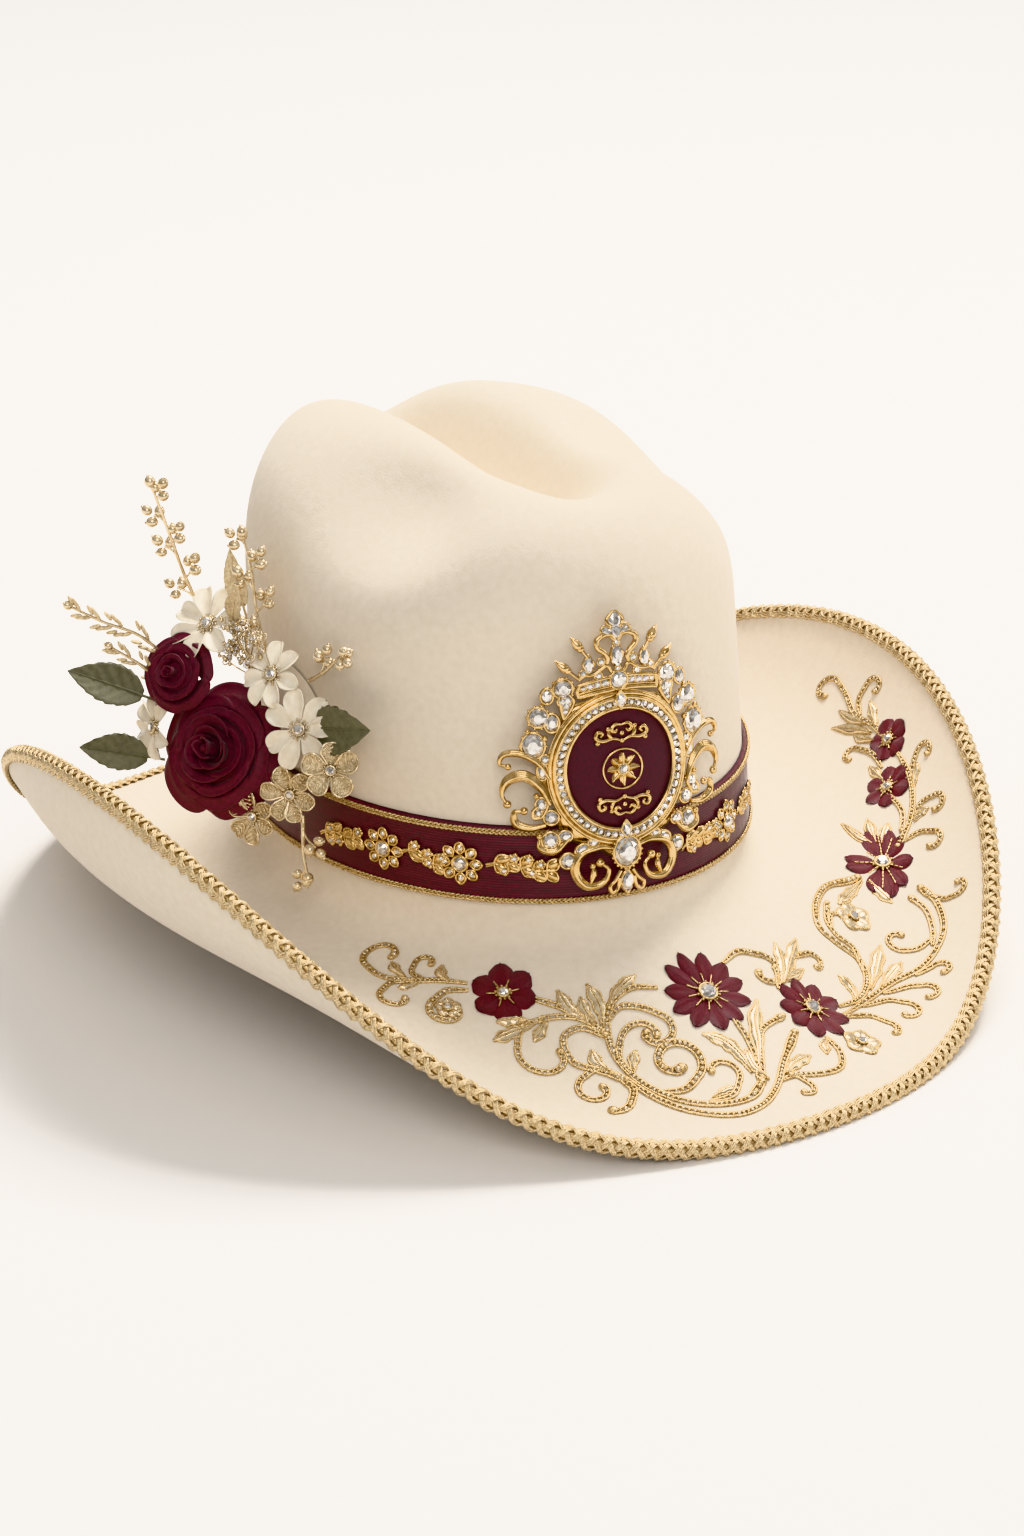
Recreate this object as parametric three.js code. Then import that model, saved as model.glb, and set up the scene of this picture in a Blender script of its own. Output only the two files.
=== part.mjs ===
// A dress sombrero with a creased felt crown and a brim rolled up at both sides, sewn with scrolls
// and flowers, banded in burgundy, with a crested medallion in front and a corsage at one side.
// Millimetres, +Z up. The wearer looks along -Y, so the corsage, on the wearer's right, is at -X.
import * as THREE from "three";

// Driving dimensions.
const FELT = 3; // thickness of the felt
const BASE_X = 88; // half width of the crown's outside where it meets the brim
const BASE_Y = 104; // half length there
const CROWN_HEIGHT = 161; // before the crease is pressed in
const WALL_SHARE = 0.6; // share of that height which is side wall
const SHOULDER = 3.1; // roundness of the tip: 2 is an ellipse, more is squarer
const TAPER = 0.042;
const BULGE = 0.006;
const LEAN = 0.072; // backward lean of the crown, per millimetre of height
const BRIM_DROP = 43.6; // from the foot of the crown down to the surface that the hat stands on
const AROUND = 48; // facets round the crown and the brim

const BAND_LOW = 13; // heights of the hat band's edges above the foot of the crown
const BAND_HIGH = 43;
const SWEATBAND_LOW = 3;
const SWEATBAND_HIGH = 38;

const MEDALLION = { angle: -98.5, height: 64.5 }; // its middle, on the crown
const PLAQUE_X = 21.5;
const PLAQUE_Y = 23;
const RIM_X = 27;
const RIM_Y = 28.5;

// Lifts above the felt of each sewn layer, underside and top.
const BAND_LAYER = [0.3, 1.6];
const CORD_LIFT = 2.6;
const CORD_RADIUS = 0.7;
const VINE_LIFT = 1.9;
const VINE_RADIUS = 1;
const PETAL_LAYER = [3.3, 4.8];
const STONE_LAYER = [5.1, 7.6];

const CREASE = { depth: 33, width: 17, back: 84, front: -54, frontLift: 6.5 };
const HUMP = { rise: 6, x: -42, width: 24, from: -60, to: 35 }; // the fuller right side of the tip
const DENT = { x: 55, y: -16, z: 145, sizes: [24, 32, 24], push: [22, -2, -10] };

// The brim: reach and height of its edge from the foot of the crown, as terms in the multiples of
// the direction's angle, and its slopes in radians at the crown and at the edge.
const REACH = { mean: 93, second: -3 };
const EDGE = { mean: -3.5, second: 47, fourth: 9, sixth: -1.5, rightLower: 11.5 };
const SLOPE = { frontIn: -0.37, frontOut: -0.15, sideIn: -0.4, sideOut: 1.4, sideOutMore: 0.25 };
const HANDLES = [0.42, 0.48];

const felt = material("#efe3d3", 0.95);
const leather = material("#c9a27a", 0.6);
const satin = material("#e9ddcb", 0.35);
const burgundy = material("#5c1526", 0.45);
const goldThread = material("#c9a55c", 0.4, 0.7);
const goldMetal = material("#c89a4a", 0.3, 1);
const stone = material("#f4f1ea", 0.05);
const cream = material("#efe0cc", 0.7);
const leafGreen = material("#5d6048", 0.8);

const hat = new THREE.Group();
hat.position.z = BRIM_DROP;

function material(color, roughness, metalness = 0) {
  return new THREE.MeshStandardMaterial({ color, roughness, metalness });
}

function add(name, geometry, finish) {
  const mesh = new THREE.Mesh(geometry, finish);
  mesh.name = name;
  hat.add(mesh);
  return mesh;
}

// ---- The felt's outer face ----

function radians(degrees) {
  return (degrees * Math.PI) / 180;
}

function smooth(from, to, value) {
  return THREE.MathUtils.smoothstep(value, from, to);
}

// Level 0 is the foot of the crown, 0.5 the top of its wall and 1 the middle of its tip.
function crownPoint(angle, level) {
  const turn = Math.max(0, level - 0.5) * Math.PI;
  const wallHeight = CROWN_HEIGHT * WALL_SHARE;
  const rise = Math.sin(turn) ** (2 / SHOULDER);
  const spread = Math.max(0, Math.cos(turn)) ** (2 / SHOULDER);
  let z = wallHeight * Math.min(1, level * 2) + (CROWN_HEIGHT - wallHeight) * rise;
  const share = z / CROWN_HEIGHT;
  const girth = spread * (1 - TAPER * share + 4 * BULGE * share * (1 - share));
  let x = BASE_X * girth * Math.cos(angle);
  let y = BASE_Y * girth * Math.sin(angle) + LEAN * z;
  const high = smooth(0.6 * CROWN_HEIGHT, CROWN_HEIGHT, z);
  z += CREASE.frontLift * (1 - smooth(-100, 40, y)) * high;
  const beside = Math.exp(-(((x - HUMP.x) / HUMP.width) ** 2));
  z += HUMP.rise * beside * smooth(HUMP.from, HUMP.to, y) * high;
  for (const side of [-1, 1]) {
    const [sx, sy, sz] = DENT.sizes;
    const away =
      0.5 * ((x - side * DENT.x) / sx) ** 2 + ((y - DENT.y) / sy) ** 2 + ((z - DENT.z) / sz) ** 2;
    const press = Math.exp(-away);
    x -= side * DENT.push[0] * press;
    y += DENT.push[1] * press;
    z += DENT.push[2] * press;
  }
  const along =
    (1 - smooth(CREASE.back - 20, CREASE.back + 32, y)) *
    smooth(CREASE.front - 22, CREASE.front + 34, y);
  const across = Math.exp(-((Math.abs(x) / CREASE.width) ** 2.2));
  z -= CREASE.depth * across * along * smooth(0.62 * CROWN_HEIGHT, 0.92 * CROWN_HEIGHT, z);
  return new THREE.Vector3(x, y, z);
}

// A point on the side of the crown at a height.
function wallPoint(angle, height) {
  const wallHeight = CROWN_HEIGHT * WALL_SHARE;
  if (height <= wallHeight) return crownPoint(angle, height / (2 * wallHeight));
  const rise = (height - wallHeight) / (CROWN_HEIGHT - wallHeight);
  return crownPoint(angle, 0.5 + Math.asin(rise ** (SHOULDER / 2)) / Math.PI);
}

// The brim's upper face, from the foot of the crown (reach 0) to its edge (reach 1): at each place
// round the crown the section is one cubic curve with its own reach, height and end slopes.
function brimPoint(angle, reach) {
  const foot = new THREE.Vector2(BASE_X * Math.cos(angle), BASE_Y * Math.sin(angle));
  const outward = new THREE.Vector2(Math.cos(angle) / BASE_X, Math.sin(angle) / BASE_Y).normalize();
  const heading = Math.atan2(outward.y, outward.x);
  const sideways = outward.x ** 2;
  const run = REACH.mean + REACH.second * Math.cos(2 * heading);
  const rise =
    EDGE.mean +
    EDGE.second * Math.cos(2 * heading) +
    EDGE.fourth * Math.cos(4 * heading) +
    EDGE.sixth * Math.cos(6 * heading) -
    EDGE.rightLower * outward.x * Math.abs(outward.x);
  const sideOut = SLOPE.sideOut - SLOPE.sideOutMore * Math.sign(outward.x);
  const slopeIn = SLOPE.frontIn * (1 - sideways) + SLOPE.sideIn * sideways;
  const slopeOut = SLOPE.frontOut * (1 - sideways) + sideOut * sideways;
  const span = Math.hypot(run, rise);
  const section = new THREE.CubicBezierCurve(
    new THREE.Vector2(0, 0),
    new THREE.Vector2(Math.cos(slopeIn), Math.sin(slopeIn)).multiplyScalar(HANDLES[0] * span),
    new THREE.Vector2(
      run - HANDLES[1] * span * Math.cos(slopeOut),
      rise - HANDLES[1] * span * Math.sin(slopeOut),
    ),
    new THREE.Vector2(run, rise),
  );
  const { x: out, y: up } = section.getPoint(reach);
  return new THREE.Vector3(foot.x + out * outward.x, foot.y + out * outward.y, up);
}

// Where a sewn piece sits: a map from its flat pattern (x to the wearer's left at the front, y
// towards the tip of the crown) and a lift to a point over the felt, round a middle point.
function seatOn(surface, middle, perY) {
  const step = 1e-3;
  return ([x, y, lift]) => {
    const along = surface(middle[0] + step, middle[1]).sub(surface(middle[0], middle[1])).length();
    const up = surface(middle[0], middle[1] + step).sub(surface(middle[0], middle[1])).length();
    const a = middle[0] + (x * step) / along;
    const b = middle[1] + (perY * y * step) / up;
    const point = surface(a, b);
    const tangentA = surface(a + step, b).sub(point);
    const tangentB = surface(a, b + step).sub(point).multiplyScalar(perY);
    return point.add(tangentA.cross(tangentB).normalize().multiplyScalar(lift));
  };
}

function crownSeat(degrees, height) {
  return seatOn(wallPoint, [radians(degrees), height], 1);
}

function brimSeat(degrees, reach) {
  return seatOn(brimPoint, [radians(degrees), reach], -1);
}

// ---- Shapes ----

// A closed solid through loops of points that each have the same number of points. The last loop
// joins the first, or each end is closed over its middle.
function loft(loops, { ring = false, middles = null } = {}) {
  const size = loops[0].length;
  const points = loops.flat();
  const faces = [];
  const spans = ring ? loops.length : loops.length - 1;
  for (let i = 0; i < spans; i++) {
    const next = (i + 1) % loops.length;
    for (let k = 0; k < size; k++) {
      const l = (k + 1) % size;
      faces.push(i * size + k, next * size + k, next * size + l);
      faces.push(i * size + k, next * size + l, i * size + l);
    }
  }
  if (!ring) {
    const last = (loops.length - 1) * size;
    const ends = middles ?? [middleOf(loops[0]), middleOf(loops.at(-1))];
    points.push(...ends);
    for (let k = 0; k < size; k++) {
      const l = (k + 1) % size;
      faces.push(points.length - 2, k, l);
      faces.push(points.length - 1, last + l, last + k);
    }
  }
  const geometry = new THREE.BufferGeometry().setFromPoints(points);
  geometry.setIndex(faces);
  if (signedVolume(points, faces) < 0) geometry.setIndex(faces.reverse());
  geometry.computeVertexNormals();
  return geometry;
}

function middleOf(loop) {
  const sum = loop.reduce((total, point) => total.add(point), new THREE.Vector3());
  return sum.divideScalar(loop.length);
}

function signedVolume(points, faces) {
  let total = 0;
  for (let i = 0; i < faces.length; i += 3) {
    const [a, b, c] = [0, 1, 2].map((k) => points[faces[i + k]]);
    total += a.dot(new THREE.Vector3().crossVectors(b, c));
  }
  return total;
}

// A round bar of changing radius along a smooth curve through points.
function bar(points, radiusAt, { steps = 16, sides = 6 } = {}) {
  const curve = new THREE.CatmullRomCurve3(points, false, "centripetal");
  const frames = curve.computeFrenetFrames(steps);
  const loops = [];
  for (let i = 0; i <= steps; i++) {
    const middle = curve.getPointAt(i / steps);
    const radius = radiusAt(i / steps);
    loops.push(
      Array.from({ length: sides }, (_, k) => {
        const turn = (2 * Math.PI * k) / sides;
        return middle
          .clone()
          .addScaledVector(frames.normals[i], radius * Math.cos(turn))
          .addScaledVector(frames.binormals[i], radius * Math.sin(turn));
      }),
    );
  }
  return loft(loops);
}

// A disc turned about Z from a profile of [radius, height], stretched to an oval, with petals
// cut in when lobes is over 0.
function turned(profile, segments, { stretch = [1, 1], lobes = 0, cut = 0.35 } = {}) {
  const outline = profile.map(([radius, height]) => new THREE.Vector2(radius, height));
  const geometry = new THREE.LatheGeometry(outline, segments).rotateX(Math.PI / 2);
  return warp(geometry, ([x, y, z]) => {
    const turn = Math.atan2(y, x);
    const notch = lobes ? 1 - cut * (0.5 - 0.5 * Math.cos(lobes * turn)) : 1;
    return new THREE.Vector3(x * notch * stretch[0], y * notch * stretch[1], z);
  });
}

// Moves every vertex by a rule, then turns the faces outwards.
function warp(geometry, rule) {
  const flat = geometry.index ? geometry.toNonIndexed() : geometry;
  const position = flat.getAttribute("position");
  const points = [];
  for (let i = 0; i < position.count; i++) {
    const point = rule([position.getX(i), position.getY(i), position.getZ(i)]);
    points.push(point);
    position.setXYZ(i, point.x, point.y, point.z);
  }
  if (signedVolume(points, points.map((_, i) => i)) < 0) {
    for (let i = 0; i < points.length; i += 3) {
      position.setXYZ(i + 1, ...points[i + 2]);
      position.setXYZ(i + 2, ...points[i + 1]);
    }
  }
  flat.computeVertexNormals();
  return flat;
}

// A ring round the crown from a section of [height, lift] points.
function crownRing(section) {
  const loops = anglesAround().map((angle) =>
    section.map(([height, lift]) => seatOn(wallPoint, [angle, height], 1)([0, 0, lift])),
  );
  return loft(loops, { ring: true });
}

function anglesAround() {
  return Array.from({ length: AROUND }, (_, i) => (2 * Math.PI * i) / AROUND);
}

// A flat profile between two lifts for turned discs: [radius, lift] pairs.
function discProfile(radius, [low, high], crown = 0) {
  return [
    [0, low],
    [radius * 0.5, low],
    [radius, low],
    [radius, high],
    [radius * 0.5, high + crown * 0.7],
    [0, high + crown],
  ];
}

// ---- Felt, band, sweatband and lining ----

const CROWN_LEVELS = [0.97, 0.9, 0.82, 0.74, 0.66, 0.58, 0.51, 0.4, 0.25, 0.09];
const BRIM_REACHES = [0.1, 0.24, 0.38, 0.52, 0.66, 0.79, 0.9, 1];
const LINER_LOOPS = [0, 1, 2, 3, 5, 7, 8]; // of the felt's levels, the last just over the sweatband
const FILLET_TOP = 10; // height where the wall starts to turn into the brim

function feltSection(angle) {
  const wall = CROWN_LEVELS.map((level) => crownPoint(angle, level));
  const brim = BRIM_REACHES.map((reach) => brimPoint(angle, reach));
  const turn = new THREE.QuadraticBezierCurve3(
    wallPoint(angle, FILLET_TOP),
    wallPoint(angle, 0),
    brim[0],
  );
  return [...wall, turn.getPoint(0), turn.getPoint(0.35), turn.getPoint(0.7), ...brim];
}

// The felt's outer face as loops from the tip to the brim's edge, moved inwards by a depth.
function feltLoops(depth) {
  const sections = anglesAround().map(feltSection);
  const outer = sections[0].map((_, i) => sections.map((section) => section[i]));
  return outer.map((loop, i) =>
    loop.map((point, j) => {
      const around = loop[(j + 1) % AROUND].clone().sub(loop.at(j - 1));
      const above = outer[Math.max(i - 1, 0)][j];
      const below = outer[Math.min(i + 1, outer.length - 1)][j];
      const inward = around.cross(below.clone().sub(above)).normalize();
      return point.clone().addScaledVector(inward, depth);
    }),
  );
}

function underTip(depth) {
  const tip = crownPoint(0, 1);
  return tip.setZ(tip.z - depth);
}

function makeFelt() {
  const loops = [...feltLoops(0), ...feltLoops(FELT).reverse()];
  add("felt_body", loft(loops, { middles: [underTip(0), underTip(FELT)] }), felt);
}

function makeBandAndSweatband() {
  const bandMiddle = (BAND_LOW + BAND_HIGH) / 2;
  const [under, over] = BAND_LAYER;
  const bandSection = [
    [BAND_LOW, under],
    [BAND_LOW, over],
    [bandMiddle, over],
    [BAND_HIGH, over],
    [BAND_HIGH, under],
    [bandMiddle, under],
  ];
  add("hat_band", crownRing(bandSection), burgundy);
  add("band_cord_bottom", crownRing(diamond(BAND_LOW + 1.6, CORD_LIFT)), goldThread);
  add("band_cord_top", crownRing(diamond(BAND_HIGH - 1.6, CORD_LIFT)), goldThread);
  const leatherFace = -FELT - 0.4;
  const sweatband = [
    [SWEATBAND_LOW, leatherFace],
    [SWEATBAND_LOW, leatherFace - 1.2],
    [SWEATBAND_HIGH, leatherFace - 1.2],
    [SWEATBAND_HIGH, leatherFace],
  ];
  add("sweatband", crownRing(sweatband), leather);
  add("sweatband_reed", crownRing(diamond(SWEATBAND_LOW - 1.5, leatherFace - 1)), leather);
}

function diamond(height, lift) {
  const radius = CORD_RADIUS;
  return [
    [height - radius, lift],
    [height, lift + radius],
    [height + radius, lift],
    [height, lift - radius],
  ];
}

// The satin lining follows the inside of the crown from the tip to just over the sweatband.
function makeLiner() {
  const depths = [FELT + 2.2, FELT + 3];
  const [outer, inner] = depths.map((depth) => {
    const loops = feltLoops(depth);
    return LINER_LOOPS.map((level) => loops[level]);
  });
  const middles = depths.map(underTip);
  add("satin_liner", loft([...outer, ...inner.reverse()], { middles }), satin);
}

// The edge braid: a channel folded over the felt's edge and flattened where the hat stands on it.
const BRAID_SECTION = [
  [-6, 0.8],
  [-6, 2.1],
  [0, 2.2],
  [2.2, 0],
  [2.2, -3],
  [-0.5, -5.4],
  [-6, -5.2],
  [-6, -3.9],
  [0.7, -3.9],
  [0.7, 0.8],
];

function makeBraid() {
  const [before, upper] = feltLoops(0).slice(-2);
  const lower = feltLoops(FELT).at(-1);
  const loops = upper.map((edge, i) => {
    const up = edge.clone().sub(lower[i]).normalize();
    const outward = edge.clone().sub(before[i]).normalize();
    outward.addScaledVector(up, -outward.dot(up)).normalize();
    return BRAID_SECTION.map(([out, lift]) => {
      const point = edge.clone().addScaledVector(outward, out).addScaledVector(up, lift);
      return point.setZ(Math.max(point.z, -BRIM_DROP));
    });
  });
  add("brim_braid", loft(loops, { ring: true }), goldThread);
}

// ---- Sewn flowers and scrolls ----

function sewnFlower(name, seat, { radius, petals, layer = PETAL_LAYER, stretch = [1, 1] }, finish) {
  const disc = turned(discProfile(radius, layer), petals * 3, { stretch, lobes: petals });
  add(name, warp(disc, seat), finish);
}

function sewnStone(name, seat, radius, layer = STONE_LAYER) {
  const [low, high] = layer;
  const profile = [
    [0, low],
    [radius, low],
    [radius, (low + high) / 2],
    [radius * 0.6, high],
    [0, high],
  ];
  add(name, warp(turned(profile, 8), seat), stone);
}

const BRIM_FLOWERS = [
  { name: "brim_flower_right", at: [-126.5, 0.215], radius: 13, petals: 6 },
  { name: "brim_flower_front", at: [-91, 0.3], radius: 18, petals: 12, stone: 4 },
  { name: "brim_flower_left_front", at: [-75.5, 0.535], radius: 14.5, petals: 9, stone: 3 },
  { name: "brim_flower_left", at: [-35.5, 0.545], radius: 19, petals: 8, stone: 3, stretch: [1, 0.75] },
  { name: "brim_flower_left_middle", at: [-21, 0.655], radius: 10, petals: 6 },
  { name: "brim_flower_left_back", at: [-14, 0.76], radius: 9.5, petals: 5 },
];

const FLORETS = [
  { name: "floret_right", at: [-135, 0.355] },
  { name: "floret_left", at: [-49.5, 0.455] },
];

// Routes of the stems over the brim, as [angle in degrees, reach].
const VINES = {
  vine_right: [[-132, 0.27], [-139, 0.3], [-146, 0.27], [-151, 0.2], [-147, 0.12], [-142, 0.16]],
  vine_front_right: [[-121.5, 0.3], [-116, 0.42], [-112, 0.55], [-104, 0.7], [-95, 0.76], [-88, 0.7]],
  vine_front_left: [[-84, 0.62], [-80, 0.72], [-75, 0.68], [-69, 0.72], [-66, 0.82], [-69, 0.88]],
  vine_left_front: [[-66, 0.5], [-61, 0.55], [-55, 0.65], [-49, 0.66], [-43, 0.7], [-40, 0.8]],
  vine_left_back: [[-27, 0.72], [-22, 0.8], [-16, 0.86], [-10, 0.85], [-9, 0.78]],
};

function makeBrimTrim() {
  for (const flower of BRIM_FLOWERS) {
    const seat = brimSeat(...flower.at);
    sewnFlower(flower.name, seat, flower, burgundy);
    if (flower.stone) sewnStone(flower.name + "_stone", seat, flower.stone);
  }
  for (const { name, at } of FLORETS) {
    sewnFlower(name, brimSeat(...at), { radius: 5.5, petals: 6, layer: [0.9, 2.6] }, goldThread);
  }
  for (const [name, route] of Object.entries(VINES)) {
    const points = route.map((at) => brimSeat(...at)([0, 0, VINE_LIFT]));
    add(name, bar(points, () => VINE_RADIUS, { steps: 18, sides: 5 }), goldThread);
  }
}

// Flowers and sprigs on the band, as angles in degrees.
const BAND_FLOWERS = { band_flower_right: -154, band_flower_front: -136.5, band_flower_left: -67 };
const BAND_SPRIGS = {
  band_sprig_right: [-149, -141.5],
  band_sprig_front: [-131, -119],
  band_sprig_left: [-84, -72],
};

function makeBandTrim() {
  const middle = (BAND_LOW + BAND_HIGH) / 2;
  const layer = [BAND_LAYER[1] + 0.5, BAND_LAYER[1] + 2.3];
  for (const [name, degrees] of Object.entries(BAND_FLOWERS)) {
    const seat = crownSeat(degrees, middle);
    sewnFlower(name, seat, { radius: 8, petals: 8, layer }, goldThread);
  }
  for (const [name, [from, to]] of Object.entries(BAND_SPRIGS)) {
    const points = [0, 0.33, 0.67, 1].map((share, i) => {
      const seat = crownSeat(from + (to - from) * share, middle + (i % 2 ? 2.5 : -2.5));
      return seat([0, 0, layer[0] + 1]);
    });
    add(name, bar(points, (t) => 1 - 0.4 * t, { steps: 8, sides: 5 }), goldThread);
  }
}

// ---- Medallion ----

const BACKING_LAYER = [3.8, 4.9];
const PLAQUE_LAYER = [5.6, 6.5];
const RIM_LAYER = [5.6, 8];

// An oval ring from a closed section of [distance outside the inner oval, lift] points.
function ovalRing(halfX, halfY, section, segments = 32) {
  const loops = Array.from({ length: segments }, (_, i) => {
    const turn = (2 * Math.PI * i) / segments;
    return section.map(([out, lift]) => {
      return new THREE.Vector3((halfX + out) * Math.cos(turn), (halfY + out) * Math.sin(turn), lift);
    });
  });
  return loft(loops, { ring: true });
}

function makeMedallion() {
  const seat = crownSeat(MEDALLION.angle, MEDALLION.height);
  const oval = (radius, layer, crown, stretch) =>
    warp(turned(discProfile(radius, layer, crown), 28, { stretch }), seat);
  const ratio = RIM_Y / RIM_X;
  add("medallion_backing", oval(RIM_X, BACKING_LAYER, 0, [1, ratio]), goldMetal);
  add("medallion_plaque", oval(PLAQUE_X, PLAQUE_LAYER, 0.6, [1, PLAQUE_Y / PLAQUE_X]), burgundy);
  const [low, high] = RIM_LAYER;
  const rim = [
    [0.7, low],
    [0.7, high],
    [5.2, high],
    [5.2, low],
  ];
  add("medallion_rim", warp(ovalRing(PLAQUE_X, PLAQUE_Y, rim), seat), goldMetal);
  const stones = [
    [1.4, high + 0.3],
    [1.4, high + 1.5],
    [4.2, high + 1.5],
    [4.2, high + 0.3],
  ];
  add("medallion_rim_stones", warp(ovalRing(PLAQUE_X, PLAQUE_Y, stones), seat), stone);
  makeOrnament(seat);
  makeTiara(seat);
  makeScrollFrames(seat);
}

// A rosette with a bar of leaves over and under it, in place of any lettering.
function makeOrnament(seat) {
  const layer = [PLAQUE_LAYER[1] + 1.5, PLAQUE_LAYER[1] + 2.7];
  sewnFlower("plaque_rosette", seat, { radius: 7, petals: 8, layer }, goldMetal);
  for (const [name, side] of [["plaque_leaves_upper", 1], ["plaque_leaves_lower", -1]]) {
    const points = [-10, -4, 4, 10].map((x, i) => {
      const droop = i === 0 || i === 3 ? -3 : 0;
      return seat([x, side * (14 + droop), layer[0] + 1.2]);
    });
    add(name, bar(points, (t) => 0.5 + Math.sin(Math.PI * t), { steps: 10, sides: 5 }), goldMetal);
  }
}

// The crest: five spear points on a curved foot above the rim, with a stone on top.
const SPEARS = [
  { x: -18, top: 42 },
  { x: -11, top: 51 },
  { x: 0, top: 52 },
  { x: 11, top: 51 },
  { x: 18, top: 42 },
];

function makeTiara(seat) {
  const foot = (x) => (RIM_Y + 1.5) * Math.sqrt(1 - (x / (RIM_X + 4)) ** 2);
  const outline = new THREE.Shape();
  outline.moveTo(-23, foot(-23));
  for (const { x, top } of SPEARS) {
    outline.lineTo(x - 2.5 + Math.sign(x) * 1.5, foot(x) + 4);
    outline.lineTo(x + Math.sign(x) * 2.5, top);
    outline.lineTo(x + 2.5 + Math.sign(x) * 1.5, foot(x) + 4);
  }
  for (let x = 23; x > -23; x -= 5.75) outline.lineTo(x, foot(x));
  const plate = new THREE.ExtrudeGeometry(outline, { depth: 2, bevelEnabled: false });
  plate.translate(0, 0, RIM_LAYER[0]);
  add("medallion_tiara", warp(plate, seat), goldMetal);
  const { angle, height } = MEDALLION;
  sewnStone("tiara_finial", crownSeat(angle, height + 56), 3, [5.6, 9]);
}

// Scrolls at the right and left of the rim, drawn for the right side and mirrored.
const SIDE_SCROLL = [[24, 22], [34, 20], [39, 10], [34.5, 2], [38.5, -8], [34, -18], [27, -22]];
const BASE_SCROLL = [[-20, -29], [-19, -36], [-11, -38], [-8, -46], [0, -51.5]];

function makeScrollFrames(seat) {
  const lift = 7;
  const thickness = (t) => 1.4 + 1.1 * Math.sin(Math.PI * t);
  for (const [name, side] of [["scroll_frame_right", -1], ["scroll_frame_left", 1]]) {
    const points = SIDE_SCROLL.map(([x, y]) => seat([side * x, y, lift]));
    add(name, bar(points, thickness, { steps: 20 }), goldMetal);
  }
  const mirrored = BASE_SCROLL.slice(0, -1).reverse().map(([x, y]) => [-x, y]);
  const base = [...BASE_SCROLL, ...mirrored].map(([x, y]) => seat([x, y, lift]));
  add("scroll_frame_base", bar(base, thickness, { steps: 22 }), goldMetal);
  const { angle, height } = MEDALLION;
  sewnStone("medallion_base_stone", crownSeat(angle, height - 36), 5, [6, 10]);
}

// ---- Corsage ----

// Places a piece made about the origin, facing +Z, at a point over the crown's foot plane.
function placed(geometry, at, facing) {
  const turn = new THREE.Quaternion().setFromUnitVectors(
    new THREE.Vector3(0, 0, 1),
    new THREE.Vector3(...facing).normalize(),
  );
  return geometry.applyQuaternion(turn).translate(...at);
}

const OUTWARD = [-0.8, -0.4, 0.45];

const ROSES = [
  { name: "rose_large", at: [-117, 14, 56], size: 20 },
  { name: "rose_small", at: [-121, 33, 80], size: 11.5 },
];

const CORSAGE_FLOWERS = [
  { name: "cream_flower_front", at: [-101, -20, 71], size: 13.5, petals: 7, finish: cream },
  { name: "cream_flower_upper", at: [-102, -4, 87], size: 11, petals: 7, finish: cream },
  { name: "cream_flower_top", at: [-106, 34, 95], size: 14, petals: 7, finish: cream },
  { name: "gold_flower_front", at: [-98, -36, 60], size: 9.5, petals: 5, finish: goldMetal },
  { name: "gold_flower_middle", at: [-106, -21, 47], size: 9.5, petals: 6, finish: goldMetal },
  { name: "gold_flower_lower", at: [-112, -5, 33], size: 9.5, petals: 6, finish: goldMetal },
];

const CORSAGE_LEAVES = [
  { name: "leaf_front", from: [-92, -26, 72], to: [-94, -48, 78] },
  { name: "leaf_back_upper", from: [-130, 50, 70], to: [-146, 66, 76] },
  { name: "leaf_top", from: [-96, 24, 104], to: [-100, 30, 124] },
];

const BERRY_SPRAYS = {
  spray_upper: [[-100, 42, 88], [-108, 46, 110], [-114, 46, 128], [-120, 48, 150]],
  spray_back: [[-112, 40, 74], [-126, 48, 90], [-140, 52, 98], [-152, 54, 106]],
  spray_front: [[-93, -14, 86], [-91, -22, 92], [-90, -28, 98], [-91, -34, 104]],
  spray_hanging: [[-104, -26, 40], [-106, -29, 32], [-107, -31, 26], [-107, -33, 19]],
};

function makeCorsage() {
  const pad = turned(discProfile(22, [0.6, 3.4]), 14, { stretch: [1, 0.9] });
  add("corsage_pad", warp(pad, crownSeat(178, 64)), felt);
  for (const { name, at, size } of ROSES) {
    const profile = [
      [0, -0.42],
      [0.5, -0.42],
      [0.92, -0.1],
      [1, 0.2],
      [0.72, 0.42],
      [0.4, 0.4],
      [0, 0.5],
    ].map(([radius, height]) => [radius * size, height * size]);
    add(name, placed(turned(profile, 15, { lobes: 5, cut: 0.1 }), at, OUTWARD), burgundy);
  }
  for (const { name, at, size, petals, finish } of CORSAGE_FLOWERS) {
    const disc = turned(discProfile(size, [-0.8, 0.8], 1.6), petals * 2, { lobes: petals, cut: 0.4 });
    add(name, placed(disc, at, OUTWARD), finish);
  }
  for (const { name, from, to } of CORSAGE_LEAVES) {
    const blade = leafBlade(new THREE.Vector3(...from), new THREE.Vector3(...to));
    add(name, blade, name === "leaf_top" ? cream : leafGreen);
  }
  for (const [name, route] of Object.entries(BERRY_SPRAYS)) {
    const points = route.map((at) => new THREE.Vector3(...at));
    const beads = (t) => 0.7 + 1.6 * Math.max(0, Math.sin(2 * Math.PI * (3 * t - 0.25)) - 0.2);
    add(name, bar(points, beads, { steps: 18, sides: 5 }), goldMetal);
  }
}

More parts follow.
